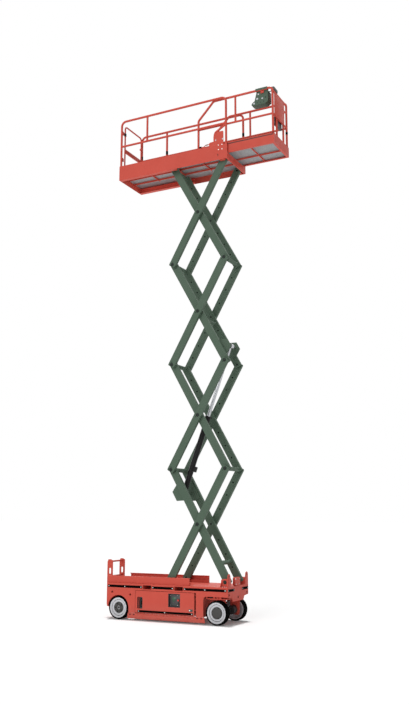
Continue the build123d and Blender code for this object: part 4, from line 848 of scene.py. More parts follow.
@dataclass
class Chassis:
    """Strips and fittings of the base: rings, weld beads, horns, shelves, yokes, socket and tray doors."""

    finishes: Finishes
    rear: float = -1.524
    front: float = 0.758
    side: float = 0.400
    strip_out: float = 0.405
    strip_mid: float = 0.540
    strip_half: float = 0.020
    strip_end: float = 0.016
    screw_head: float = 0.0012
    screw_inset: float = 0.020
    long_strip: float = 0.46
    front_strip: tuple[float, float] = (0.150, 0.392)
    kick: tuple[float, float] = (-0.912, 0.134)
    kick_z: tuple[float, float] = (0.136, 0.170)
    fork_centres: tuple[float, float] = (-0.735, -0.134)
    fork_half: float = 0.079
    door_rear: float = -0.958
    door_low: float = 0.129
    door_high: float = 0.482
    hinge_x: float = 0.172
    hinge_heights: tuple[float, float] = (0.189, 0.422)
    hinge_half: float = 0.025
    top: float = 0.590
    plate_back: float = 0.750
    rungs: tuple[float, ...] = (0.240, 0.460, 0.680, 0.930)
    rung_x: float = -1.608
    rib_pitch: float = 0.024
    shelf_x: tuple[float, float] = (0.372, 0.700)
    shelf_y: tuple[float, float] = (0.205, 0.388)
    shelf_z: tuple[float, float] = (0.4045, 0.4125)
    grip_x: tuple[float, float] = (-0.921, -0.818)
    grip_z: tuple[float, float] = (0.194, 0.382)
    tie_holes: tuple[tuple[float, float], ...] = ((-0.348, 0.470), (0.0, 0.420), (0.348, 0.470))

    def strip_runs(self) -> list[tuple[float, float]]:
        """The start and end of each side strip, which stop at the fork pockets."""
        gap = self.fork_half + self.strip_end
        edges = [self.rear + self.strip_end]
        for x in self.fork_centres:
            edges += [x - gap, x + gap]
        edges.append(self.plate_back - self.strip_end)
        return list(zip(edges[0::2], edges[1::2]))

    def build(self) -> None:
        """Makes all the fittings of the base."""
        self.strips()
        self.rings()
        self.welds()
        self.cover_screws()
        self.horns()
        self.hole_backs()
        self.shelves()
        for hand in Hand:
            self.yoke(hand)
        self.rear_fittings()
        for hand in Hand:
            self.kick_strip(hand)
            self.door(hand)
            self.guard(hand)
        self.ground_panel()

    def strips(self) -> None:
        """Rubbing strips with rounded edges along the sides and the front, and their bright screws."""
        bars, screws = Shape(), Shape()
        low, high = self.strip_mid - self.strip_half, self.strip_mid + self.strip_half
        face = self.strip_out - self.screw_head
        for start, end in self.strip_runs():
            bars.block((start, self.side, low), (end, face, high), 0.0016)
            places = [start + self.screw_inset, end - self.screw_inset]
            if end - start > self.long_strip:
                places.append((start + end) / 2)
            for x in places:
                screws.screw((x, face, self.strip_mid), Axis.Y.vector, 0.0065, self.screw_head, 16)
        nose = self.front + self.strip_out - self.side - self.screw_head
        inner, outer = self.front_strip
        bars.block((self.front, inner, low), (nose, outer, high), 0.0016)
        for y in (inner + self.screw_inset, outer - self.screw_inset):
            screws.screw((nose, y, self.strip_mid), Axis.X.vector, 0.0065, self.screw_head, 16)
        bars.mirrored().finish("rub_strips_moulded", "chassis", "black_rubber", self.finishes.strip,
                               ["rub_strips"])
        screws.mirrored().finish("strip_screws", "chassis", "pin_steel", self.finishes.zinc)

    def kick_strip(self, hand: Hand) -> None:
        """The strip along the foot of one tray's door, with its screws.

        Args:
            hand: the tray's side.
        """
        side = hand.value
        (start, end), (low, high) = self.kick, self.kick_z
        bar, screws = Shape(), Shape()
        face = side * (self.strip_out - self.screw_head)
        bar.block((start, side * self.side, low), (end, face, high), 0.0016)
        strip, body = f"{hand.label}_kick_strip", f"{hand.label}_tray"
        bar.finish(f"{strip}_moulded", body, "black_rubber", self.finishes.strip, [strip])
        for x in (start + self.screw_inset, (start + end) / 2, end - self.screw_inset):
            screws.screw((x, face, (low + high) / 2), Axis.Y.vector * side, 0.006, self.screw_head, 16)
        screws.finish(f"{hand.label}_kick_screws", body, "pin_steel", self.finishes.zinc)

    def rings(self) -> None:
        """Welded rings round the lashing holes of the sides."""
        rings = Shape()
        for x, z in ((-1.421, 0.444), (-1.063, 0.413)):
            rings.turned([(0.0172, 0.0), (0.0172, 0.0025), (0.027, 0.0025), (0.029, 0.0)],
                         (x, self.side, z), Axis.Y.vector, 40)
        rings.mirrored()
        rings.finish("lashing_rings", "chassis", "body_red", self.finishes.red)

    def welds(self) -> None:
        """Weld beads along the lugs and channels, and gussets that stiffen the lugs."""
        beads = Shape()
        beads.bar((0.604, 0.331, 0.5925), (0.748, 0.331, 0.5925), 0.005, 8)
        beads.bar((self.rear + 0.01, 0.3675, 0.5925), (0.04, 0.3675, 0.5925), 0.004, 8)
        gusset = [(0.3305, self.top), (0.385, self.top), (0.385, 0.606), (0.3305, 0.690)]
        for x in (0.612, 0.730):
            beads.plate(gusset, Facing.FRONT, x, x + 0.012, 0.001)
        beads.mirrored().finish("weld_beads", "chassis", "body_red", self.finishes.red)
        bolts = Shape()
        for x in (0.636, 0.676, 0.716):
            bolts.screw((x, 0.345, self.top), Axis.Z.vector, 0.0095, 0.010)
        for x in (-0.60, -0.34, 0.10, 0.32, 0.48):
            bolts.screw((x, 0.300, self.top), Axis.Z.vector, 0.007, 0.007)
        bolts.mirrored().finish("deck_bolts", "chassis", "pin_steel", self.finishes.zinc)

    def cover_screws(self) -> None:
        """Screws of the wiring cover."""
        screws = Shape()
        for y in (-0.072, 0.072):
            for z in (0.622, 0.704):
                screws.screw((self.plate_back, y, z), Axis.X.vector, 0.006, 0.005)
        screws.finish("front_screws", "chassis", "pin_steel", self.finishes.zinc)

    def hole_backs(self) -> None:
        """Dark discs behind the tie holes of the front plate: painted shade inside the holes."""
        backs = Shape()
        for y, z in self.tie_holes:
            # painted shade: a black disc closes each hole
            backs.disc((self.front - 0.0095, y, z), Axis.X.vector, 0.0196, 0.0015, 0.0, 32)
        backs.finish("tie_hole_backs", "chassis", "black_rubber", self.finishes.strip)

    def shelves(self) -> None:
        """Shelves over the front wheels with their studs, and the beam between the steered yokes."""
        (rear, front), (inner, outer), (low, high) = self.shelf_x, self.shelf_y, self.shelf_z
        shelf = Shape()
        shelf.block((rear, inner, low), (front, outer, high), 0.001)
        shelf.block((0.525, 0.0, 0.362), (0.585, 0.165, 0.430), 0.0)
        shelf.block((rear, inner, high), (rear + 0.008, outer, 0.470), 0.001)
        stud = [(0.0, 0.052), (0.014, 0.052), (0.018, 0.046), (0.020, 0.0), (0.0, 0.0)]
        for x in (0.50, 0.61):
            shelf.turned(stud, (x, 0.360, high), Axis.Z.vector, 28)
        shelf.mirrored().finish("arch_shelves", "chassis", "body_red", self.finishes.low_red)

    def yoke(self, hand: Hand) -> None:
        """The plate that carries one hub motor.

        Args:
            hand: the yoke's side.
        """
        side = hand.value
        outline = [(0.540, 0.385), (0.664, 0.385), (0.658, 0.130), (0.638, 0.105), (0.566, 0.105),
                   (0.546, 0.130)]
        cheek = Shape().plate(outline, Facing.SIDE, side * 0.262, side * 0.272, 0.002)
        cheek.finish(f"{hand.label}_yoke_cheek", f"{hand.label}_yoke", "body_red", self.finishes.low_red)

    def horns(self) -> None:
        """Rounded cheeks round the two horns of the front plate, with dark discs of painted shade for their
        eyes.
        """
        cheeks, eyes = Shape(), Shape()
        middle, half, height = 0.345, 0.050, 0.750
        turns = [math.pi * step / 10 for step in range(11)]
        arc = [(middle + half * math.cos(turn), height + half * math.sin(turn) - 0.0005) for turn in turns]
        back, face = self.front - 0.0088, self.front + 0.0008
        foot = self.top + 0.0005
        cheeks.plate([(0.397, foot), *arc, (0.261, foot)], Facing.FRONT, back, face, 0.0008)
        # painted shade: a dark disc on each face stands for the hole of each eye
        for x, out in ((face, 1.0), (back, -1.0)):
            eyes.disc((x, middle, height + 0.008), Axis.X.vector * out, 0.011, 0.0008, 0.0005)
        cheeks.mirrored().finish("front_horn_cheeks", "chassis", "body_red", self.finishes.red)
        eyes.mirrored().finish("front_horn_eyes", "chassis", "pin_steel", self.finishes.pin)

    def rear_fittings(self) -> None:
        """Charger socket, bolts and the ladder's ribbed rungs at the rear."""
        socket = Shape()
        socket.block((self.rear - 0.016, 0.235, 0.470), (self.rear, 0.335, 0.552), 0.004)
        socket.turned([(0.0, 0.024), (0.020, 0.024), (0.026, 0.020), (0.028, 0.0), (0.0, 0.0)],
                      (self.rear - 0.014, 0.285, 0.511), -Axis.X.vector, 32)
        socket.finish("charger_socket", "chassis", "panel_plastic", self.finishes.dark)
        bolts = Shape()
        for y in (0.206, 0.360):
            for z in (0.260, 0.420, 0.545):
                bolts.screw((self.rear, y, z), -Axis.X.vector, 0.009, 0.008)
        bolts.mirrored().finish("rear_bolts", "chassis", "pin_steel", self.finishes.zinc)
        grips = Shape()
        rib = [(0.0130, -0.004), (0.0150, -0.0025), (0.0150, 0.0025), (0.0130, 0.004)]
        for z in self.rungs:
            for number in range(-7, 8):
                grips.turned(rib, (self.rung_x, number * self.rib_pitch, z), Axis.Y.vector, 18)
        grips.finish("rung_grips", "chassis", "body_red", self.finishes.red)

    def inset(self, side: float, depth: float) -> float:
        """The place at a depth behind one side's face."""
        return side * (self.side - depth)

    def door(self, hand: Hand) -> None:
        """The grip, the painted shade in the door's gaps and the ports of one tray's door.

        Args:
            hand: the tray's side.
        """
        self.grip(hand)
        self.seal(hand)
        self.ports(hand)

    def grip(self, hand: Hand) -> None:
        """The recessed box of one door's grip, and the bar in it.

        Args:
            hand: the tray's side.
        """
        side = hand.value
        body, wall = f"{hand.label}_tray", 0.004
        (x0, x1), (z0, z1) = self.grip_x, self.grip_z
        depth, floor, lip = self.inset(side, 0.034), self.inset(side, 0.0315), self.inset(side, 0.0085)
        box = Shape()
        box.block((x0 - wall, depth, z0 - wall), (x1 + wall, floor, z1 + wall), 0.0)
        box.block((x0 - wall, depth, z0 - wall), (x0, lip, z1 + wall))
        box.block((x1, depth, z0 - wall), (x1 + wall, lip, z1 + wall))
        box.block((x0, depth, z0 - wall), (x1, lip, z0))
        box.block((x0, depth, z1), (x1, lip, z1 + wall))
        box.finish(f"{hand.label}_grip_box", body, "panel_plastic", self.finishes.dark)
        middle, high = (x0 + x1) / 2 + 0.012, (z0 + z1) / 2
        foot, face, inset = self.inset(side, 0.030), self.inset(side, 0.008), 0.028
        bar = Shape()
        bar.bent([(middle, foot, z0 + inset), (middle, face, z0 + inset), (middle, face, z1 - inset),
                  (middle, foot, z1 - inset)], 0.0085, 0.012)
        bar.block((middle - 0.016, floor, high - 0.03),
                  (middle + 0.016, self.inset(side, 0.020), high + 0.03), 0.003)
        bar.finish(f"{hand.label}_grip_bar", body, "pin_steel", self.finishes.pin)

    def seal(self, hand: Hand) -> None:
        """Black strips of painted shade in the gaps at the rear edge, top edge and foot of one door, and its
        hinges.

        Args:
            hand: the tray's side.
        """
        side = hand.value
        gap, thin = 0.005, 0.0005
        rear, low, high = self.door_rear, self.door_low, self.door_high
        back, front, skin = self.inset(side, 0.014), self.inset(side, 0.009), self.inset(side, 0.001)
        seal = Shape()
        # painted shade: thin black blocks fill the door's gaps, where shade falls
        seal.block((rear - gap, back, low), (rear - thin, front, high))
        seal.block((rear, back, high + thin), (self.hinge_x - 0.012, front, high + gap))
        seal.block((rear + 0.002, self.inset(side, 0.010), low - 0.0112),
                   (self.hinge_x - 0.015, skin, low), 0.0012)
        half = self.hinge_half
        knuckle = [(0.0081, -half), (0.0088, 0.001 - half), (0.0088, half - 0.001), (0.0081, half)]
        for z in self.hinge_heights:
            seal.turned(knuckle, (self.hinge_x, self.inset(side, 0.008), z), Axis.Z.vector, 24)
            seal.block((self.hinge_x - 0.0135, skin, z - half),
                       (self.hinge_x, self.inset(side, 0.0004), z + half), 0.0002)
        seal.finish(f"{hand.label}_door_seal", f"{hand.label}_tray", "black_rubber", self.finishes.strip)

    def ports(self, hand: Hand) -> None:
        """The plate with two round ports at the front of one door.

        Args:
            hand: the tray's side.
        """
        side = hand.value
        body, out, face = f"{hand.label}_tray", side * self.side, self.inset(side, -0.0015)
        plate = Shape().block((0.058, out, 0.190), (0.128, face, 0.228), 0.0006)
        plate.finish(f"{hand.label}_port_plate", body, "panel_plastic", self.finishes.dark)
        rim = [(0.0, 0.0020), (0.005, 0.0028), (0.011, 0.0028), (0.0125, 0.0), (0.0, 0.0)]
        for x, kind, finish in ((0.074, "test", self.finishes.zinc), (0.110, "fill", self.finishes.console)):
            port = Shape().turned(rim, (x, face, 0.209), Axis.Y.vector * side, 24)
            port.finish(f"{hand.label}_{kind}_port", body, "panel_plastic", finish)

    def guard(self, hand: Hand) -> None:
        """One fold-down guard's stiffener with pointed ends, hinge barrels, and dark red sheets of painted
        shade behind it.

        Args:
            hand: the guard's side.
        """
        side = hand.value
        face = side * 0.396
        rib = Shape()
        outline = [(-0.830, 0.064), (-0.786, 0.094), (0.012, 0.094), (0.056, 0.064), (0.012, 0.034),
                   (-0.786, 0.034)]
        rib.plate(outline, Facing.SIDE, face, face + side * 0.007, 0.001)
        rib.finish(f"{hand.label}_guard_stiffener", f"{hand.label}_guard", "body_red", self.finishes.low_red)
        barrel = Shape()
        for start, end in ((-1.104, -1.080), (-0.968, 0.190), (0.302, 0.332)):
            barrel.bar((start, side * 0.392, 0.108), (end, side * 0.392, 0.108), 0.0075, 20, 0.001)
        barrel.finish(f"{hand.label}_guard_barrel", f"{hand.label}_guard", "body_red", self.finishes.low_red)
        # painted shade: dark red sheets behind the guard stand for the shade in the gap there
        shade_sheet = Shape()
        for x in (-1.024, 0.246):
            shade_sheet.block((x - 0.060, side * 0.3840, 0.074), (x + 0.060, side * 0.3875, 0.0985), 0.0006)
        shade_sheet.finish(f"{hand.label}_guard_backing", f"{hand.label}_guard", "body_red", self.finishes.shade)

    def ground_panel(self) -> None:
        """Switches, display and stop button of the ground controls."""
        floor = -0.358
        x0, x1, z0, z1 = -0.321, -0.110, 0.248, 0.453
        face = Shape()
        face.block((x0 + 0.006, floor - 0.006, z0 + 0.006), (x1 - 0.006, floor, z1 - 0.006), 0.003)
        for z in (0.268, 0.433):
            face.block((x0 + 0.012, floor - 0.008, z - 0.002), (x1 - 0.012, floor - 0.006, z + 0.002), 0.0008)
        face.finish("ground_panel_face", "right_tray", "panel_plastic", self.finishes.dark)
        glass = Shape()
        glass.block((-0.268, floor - 0.0095, 0.352), (-0.206, floor - 0.006, 0.398), 0.002)
        glass.block((-0.256, floor - 0.0095, 0.326), (-0.226, floor - 0.006, 0.344), 0.002)
        lamp = [(0.0, 0.010), (0.004, 0.009), (0.005, 0.006), (0.0, 0.006)]
        for x in (-0.272, -0.236, -0.196):
            glass.turned(lamp, (x, floor, 0.284), -Axis.Y.vector, 20)
        glass.finish("ground_display", "right_tray", "panel_plastic", self.finishes.display)
        button = Shape()
        stop = (-0.146, floor, 0.3565)
        button.turned([(0.0, 0.038), (0.011, 0.037), (0.016, 0.034), (0.018, 0.029), (0.017, 0.024),
                       (0.012, 0.022), (0.010, 0.010), (0.0, 0.010)], stop, -Axis.Y.vector, 40)
        button.finish("ground_stop_button", "right_tray", "panel_plastic", self.finishes.stop)
        collar = Shape()
        collar.turned([(0.0130, 0.006), (0.0130, 0.012), (0.018, 0.012), (0.020, 0.006)],
                      stop, -Axis.Y.vector, 40)
        collar.turned([(0.0, 0.020), (0.015, 0.020), (0.019, 0.016), (0.020, 0.006), (0.0, 0.006)],
                      (-0.142, floor, 0.302), -Axis.Y.vector, 32)
        collar.block((-0.1445, floor - 0.030, 0.288), (-0.1395, floor - 0.018, 0.316), 0.0015)
        collar.finish("ground_key_switch", "right_tray", "panel_plastic", self.finishes.casting)
        keys = Shape()
        for x in (-0.300, -0.170):
            for z in (0.428, 0.274):
                keys.screw((x, floor - 0.006, z), -Axis.Y.vector, 0.0032, 0.0025, 16)
        keys.finish("ground_panel_screws", "right_tray", "pin_steel", self.finishes.zinc)


@dataclass
class ScissorStack:
    """Fittings of the arms: dark discs of painted shade for the clip holes, weld collars, pin caps and end
    plugs.
    """

    finishes: Finishes
    pivot_x: float = 0.676
    pivot_z: float = 0.668
    arm: float = 2.085
    angle: float = math.radians(60.65)
    stages: int = 4
    inner: tuple[float, float] = (0.195, 0.250)
    outer: tuple[float, float] = (0.260, 0.315)
    depth: float = 0.125
    end: float = 0.037
    hole_places: tuple[float, ...] = (0.235, 0.475, 0.74, 1.33, 1.60, 1.84)
    first_tube: float = 0.330
    third_tube: float = 0.42

    @property
    def rise(self) -> float:
        """The height of one stage."""
        return self.arm * math.sin(self.angle)

    @property
    def slide_x(self) -> float:
        """The place of the sliding ends."""
        return self.pivot_x - self.arm * math.cos(self.angle)

    def place(self, stage: int, inner: bool) -> Matrix:
        """The place of an arm's own frame, whose X runs along the arm from its lower pin.

        Args:
            stage: the stage, from 1.
            inner: whether it is an inner arm.

        Returns:
            The matrix.
        """
        low = self.pivot_z + (stage - 1) * self.rise
        x = self.pivot_x if inner else self.slide_x
        turn = math.pi - self.angle if inner else self.angle
        return Matrix.Translation((x, 0.0, low)) @ Matrix.Rotation(-turn, 4, "Y")

    def build(self) -> None:
        """Makes the fittings of all stages."""
        for stage in range(1, self.stages + 1):
            self.holes(stage)
            self.collars(stage)
            self.caps(stage)
            self.plugs(stage)

    def _moved(self, shape: Shape, place: Matrix) -> Shape:
        """Moves a shape from an arm's frame to the machine's frame."""
        bmesh.ops.transform(shape.mesh, matrix=place, verts=shape.mesh.verts)
        return shape

    def holes(self, stage: int) -> None:
        """Dark discs of painted shade for the clip holes on the faces of both pairs of arms.

        Args:
            stage: the stage, from 1.
        """
        for inner, faces in ((True, self.inner), (False, self.outer)):
            marks = Shape()
            for along in self.hole_places:
                # painted shade: thin dark discs on the arm faces stand for the clip holes
                marks.disc((along, faces[0], 0.0), -Axis.Y.vector, 0.0115, 0.0010, 0.0010, 20)
            body = f"{'inner' if inner else 'outer'}_{stage}"
            self._moved(marks.mirrored(), self.place(stage, inner)).finish(
                f"{body}_clip_holes", body, "black_rubber", self.finishes.strip)

    def collars(self, stage: int) -> None:
        """Weld collars where cross tubes meet the inner arms.

        Args:
            stage: the stage, from 1.
        """
        tubes = {1: self.first_tube, 3: self.third_tube * self.arm}
        collar = Shape()
        for along in (tubes.get(stage, 0.0), self.arm):
            collar.turned([(0.0355, 0.0), (0.0355, 0.010), (0.0385, 0.006), (0.043, 0.0015), (0.0445, 0.0)],
                          (along, self.inner[0], 0.0), -Axis.Y.vector, 40)
        self._moved(collar.mirrored(), self.place(stage, True)).finish(
            f"inner_{stage}_weld_collars", f"inner_{stage}", "arm_green", self.finishes.green)

    def caps(self, stage: int) -> None:
        """Grease caps and locking screws on the pin heads of the outer arms.

        Args:
            stage: the stage, from 1.
        """
        cap = Shape()
        ends = [self.arm / 2]
        if stage > 1:
            ends.append(0.0)
        if stage < self.stages:
            ends.append(self.arm)
        grease = [(0.0, 0.0095), (0.006, 0.0095), (0.008, 0.008), (0.009, 0.0062), (0.021, 0.0075),
                  (0.025, 0.0062), (0.0, 0.0058)]
        for along in ends:
            cap.turned(grease, (along, self.outer[1], 0.0), Axis.Y.vector, 28)
            beside = along - 0.042 if along else 0.042
            cap.screw((beside, self.outer[1], 0.018), Axis.Y.vector, 0.006, 0.005)
        self._moved(cap.mirrored(), self.place(stage, False)).finish(
            f"outer_{stage}_pin_caps", f"outer_{stage}", "pin_steel", self.finishes.pin)

    def plugs(self, stage: int) -> None:
        """Recessed plugs in the open ends of the arms.

        Args:
            stage: the stage, from 1.
        """
        wall, last = 0.006, self.arm + self.end
        half = self.depth / 2 - wall
        for inner, faces in ((True, self.inner), (False, self.outer)):
            plug = Shape()
            for low, high in ((0.002 - self.end, 0.004 - self.end), (last - 0.004, last - 0.002)):
                plug.block((low, faces[0] + wall, -half), (high, faces[1] - wall, half), 0.0008)
            body = f"{'inner' if inner else 'outer'}_{stage}"
            self._moved(plug.mirrored(), self.place(stage, inner)).finish(
                f"{body}_end_plugs", body, "arm_green", self.finishes.green)


@dataclass
class Platform:
    """Rails, gate and fittings of the main deck: sleeves, tread, lips, ear, stop lever, lug and latch."""

    finishes: Finishes
    rear: float = -1.457
    front: float = 0.787
    floor: float = 8.01748
    fascia_top: float = 8.17549
    fascia_low: float = 7.89749
    fascia_out: float = 0.399
    fascia_in: float = 0.393
    rail_y: float = 0.3729
    rail_radius: float = 0.020
    bar_radius: float = 0.019
    rail_top: float = 9.082
    rail_mid: float = 8.580
    rail_bend: float = 0.090
    post_rear: float = -1.436
    post_middle: float = -0.4427
    post_front: float = 0.760
    stub_x: float = -0.8713
    brace_run: float = 0.220
    brace_drop: float = 0.150
    gate_x: float = -1.438
    gate_y: tuple[float, float] = (-0.250, 0.338)
    gate_z: tuple[float, float] = (8.0775, 9.050)
    gate_radius: float = 0.0145
    tread_rows: int = 13
    band_tall: float = 0.072
    ring_half: float = 0.0168
    lug_x: float = -1.075
    latch_z: float = 8.878

    def build(self) -> None:
        """Makes the rails, the gate and all the fittings of the main deck."""
        for hand in Hand:
            self.rail(hand)
        self.gate()
        self.sleeves()
        self.tread()
        self.fascia_plates()
        self.ear_fittings()
        self.stop_lever()
        self.lashing_lug()
        self.gate_latch()

    def rail(self, hand: Hand) -> None:
        """One side's guard rail: a bent hoop, a mid rail, a stub above it, a post below it and a brace.

        Args:
            hand: the rail's side.
        """
        side = hand.value
        y = side * self.rail_y
        tubes = Shape()
        tubes.bent([(self.post_rear, y, self.floor), (self.post_rear, y, self.rail_top),
                    (self.post_front, y, self.rail_top), (self.post_front, y, self.floor)],
                   self.rail_radius, self.rail_bend, 18, 8)
        tubes.bar((self.post_rear, y, self.rail_mid), (self.post_front, y, self.rail_mid), self.bar_radius)
        tubes.bar((self.stub_x, y, self.rail_mid), (self.stub_x, y, self.rail_top), self.bar_radius)
        tubes.bar((self.post_middle, y, self.floor), (self.post_middle, y, self.rail_mid), self.bar_radius)
        if hand is Hand.RIGHT:
            x = self.post_front - self.brace_run
            tubes.bent([(x, y, self.floor), (x, y, self.rail_mid - self.brace_drop),
                        (self.post_front, y, self.rail_mid - self.rail_radius)],
                       self.bar_radius, self.rail_bend / 2)
        for x, z, up in ((self.stub_x, self.rail_mid + self.bar_radius, 1.0),
                         (self.stub_x, self.rail_top - self.rail_radius, -1.0),
                         (self.post_middle, self.rail_mid - self.bar_radius, -1.0)):
            tubes.weld((x, y, z), Axis.Z.vector * up, self.bar_radius)
        name = f"{hand.label}_rail"
        tubes.finish(f"{name}_tubes", "platform", "body_red", self.finishes.red, [name])

    def gate(self) -> None:
        """The entry gate: a bent hoop with a flat mid bar, a low bar and a kick plate."""
        (right, left), (low, top), x = self.gate_y, self.gate_z, self.gate_x
        leaf = Shape()
        hoop = [(x, left, low), (x, left, top), (x, right, top), (x, right, low)]
        leaf.bent(hoop, self.gate_radius, 0.060, 18, 8)
        leaf.block((x - 0.013, right, self.rail_mid - 0.068), (x + 0.013, left, self.rail_mid + 0.004), 0.003)
        leaf.bar((x, right, low + 0.018), (x, left, low + 0.018), self.gate_radius - 0.002)
        leaf.block((x - 0.002, right, low + 0.018), (x + 0.002, left, low + 0.118), 0.0008)
        leaf.finish("gate_leaf", "gate", "body_red", self.finishes.red, ["gate"])

    def sleeves(self) -> None:
        """Sockets at the feet of the posts, and the black bands of their folding joints."""
        sleeves = Shape()
        inside, outside = self.rail_radius + 0.0002, self.rail_radius + 0.0014
        for x in (self.post_rear, self.post_front):
            sleeves.sleeve((x, self.rail_y, self.floor + 0.002), inside, outside, 0.128)
        sleeves.mirrored().finish("post_sleeves", "platform", "body_red", self.finishes.red)
        bands = Shape()
        for x, side, z in ((self.post_middle, -1.0, 8.212), (self.post_middle, 1.0, 8.212),
                           (self.post_rear, 1.0, 8.610), (self.post_front, 1.0, 8.630)):
            bands.sleeve((x, side * self.rail_y, z), self.bar_radius, outside, self.band_tall)
        bands.finish("post_bands", "platform", "black_rubber", self.finishes.strip)

    def tread(self) -> None:
        """The anti-slip floor."""
        bars = Shape().tread(self.rear, self.front - self.rear - 0.08, self.floor, self.tread_rows)
        bars.finish("deck_tread", "platform", "deck_plate", self.finishes.plate)

    def fascia_plates(self) -> None:
        """Folded lips along the fascias."""
        top, out = self.fascia_top, self.fascia_out - 0.0005
        lips = Shape().block((self.rear, 0.394, top), (self.front - 0.220, out, top + 0.004), 0.0012)
        lips.mirrored().finish("fascia_lips", "platform", "body_red", self.finishes.red)

    def ear_fittings(self) -> None:
        """Bolts, pale discs of painted light for the holes, a dark block of painted shade for the slot, and
        the step of the plate that stands on the right fascia.
        """
        y = -self.fascia_out
        bolts = Shape()
        for x in (0.618, 0.690):
            for z in (8.088, 8.172):
                bolts.screw((x, y, z), -Axis.Y.vector, 0.0075, 0.005)
        bolts.finish("ear_bolts", "platform", "pin_steel", self.finishes.zinc)
        holes = Shape()
        # painted light: pale discs stand for the bright backdrop seen through the holes
        for x, z in ((0.566, 8.276), (0.704, 8.274)):
            holes.disc((x, y, z), -Axis.Y.vector, 0.013, 0.0010, 0.0005)
        holes.finish("ear_holes", "platform", "rim_grey", self.finishes.rim)
        # painted shade: a thin dark block stands for the slot
        slot = Shape()
        slot.block((0.602, y - 0.0012, 7.962), (0.612, y, 8.008), 0.0004)
        slot.finish("fascia_slot", "platform", "pin_steel", self.finishes.pin)
        step = Shape()
        top = self.fascia_top
        step.plate([(0.432, top), (0.432, top + 0.062), (0.448, top + 0.078), (0.525, top + 0.084),
                    (0.525, top + 0.216), (0.536, top + 0.230), (0.5748, top + 0.230), (0.5748, top)],
                   Facing.SIDE, y, -self.fascia_in, 0.001)
        step.finish("ear_step", "platform", "body_red", self.finishes.red)

    def stop_lever(self) -> None:
        """The foot lever behind the ear that locks the roll-out deck, with its pad and spring."""
        y, top = -0.386, self.fascia_top
        rod = Shape()
        rod.bent([(0.428, y, top + 0.058), (0.352, y, top + 0.050), (0.318, y, top + 0.022),
                  (0.246, y, top + 0.034)], 0.0065, 0.016)
        rod.block((0.300, y - 0.010, top), (0.336, y + 0.006, top + 0.030), 0.002)
        rod.finish("stop_lever", "platform", "body_red", self.finishes.red)
        pad = Shape()
        pad.turned([(0.0066, 0.0), (0.012, 0.002), (0.013, 0.040), (0.008, 0.048), (0.0066, 0.048)],
                   (0.232, y, top + 0.034), Axis.X.vector, 20)
        for turn in range(6):
            pad.turned([(0.0066, 0.0), (0.0095, 0.0015), (0.0095, 0.0030), (0.0066, 0.0045)],
                       (0.360 + 0.008 * turn, y, top + 0.0505 + 0.0008 * turn), Axis.X.vector, 18)
        pad.finish("stop_lever_pad", "platform", "black_rubber", self.finishes.strip)

    def lashing_lug(self) -> None:
        """The lashing plate below the left fascia, with a ring round its hole and a dark disc of painted
        shade in the hole.
        """
        lug = Shape()
        low, face = self.fascia_low, 0.3725
        lug.plate([(-1.140, low + 0.002), (-1.140, low + 0.062), (-1.128, low + 0.074), (-1.022, low + 0.074),
                   (-1.010, low + 0.062), (-1.010, low + 0.002)], Facing.SIDE, face, face + 0.008, 0.001)
        lug.turned([(0.017, 0.0), (0.017, 0.003), (0.023, 0.003), (0.025, 0.0)],
                   (self.lug_x, face, low + 0.036), -Axis.Y.vector, 28)
        lug.finish("lashing_lug", "platform", "body_red", self.finishes.red)
        # painted shade: a dark disc stands for the hole
        eye = Shape().disc((self.lug_x, face, low + 0.036), -Axis.Y.vector, self.ring_half, 0.0012, 0.0, 28)
        eye.finish("lashing_lug_eye", "platform", "pin_steel", self.finishes.pin)

    def gate_latch(self) -> None:
        """The latch on the gate and the two keepers that reach to it from the right rear post."""
        latch = Shape()
        x, y, high = self.gate_x, self.gate_y[0], self.latch_z
        latch.block((x - 0.0148, y - 0.025, high - 0.030), (x + 0.0148, y + 0.023, high + 0.030), 0.003)
        latch.bar((x, y - 0.025, high), (x, y - 0.039, high), 0.008, 16, 0.001)
        latch.turned([(0.0, 0.024), (0.010, 0.022), (0.013, 0.013), (0.010, 0.003), (0.0, 0.0)],
                     (x, y - 0.001, high + 0.028), Axis.Z.vector, 24)
        latch.finish("gate_latch", "gate", "panel_plastic", self.finishes.black)
        keepers = Shape()
        for z in (8.340, high):
            ear = [(-0.356, z - 0.045), (-0.294, z - 0.030), (-0.294, z + 0.030), (-0.356, z + 0.045)]
            keepers.plate(ear, Facing.FRONT, x - 0.006, x + 0.006, 0.001)
            keepers.screw((x - 0.006, -0.326, z), -Axis.X.vector, 0.007, 0.006)
        keepers.finish("gate_keepers", "platform", "body_red", self.finishes.red)


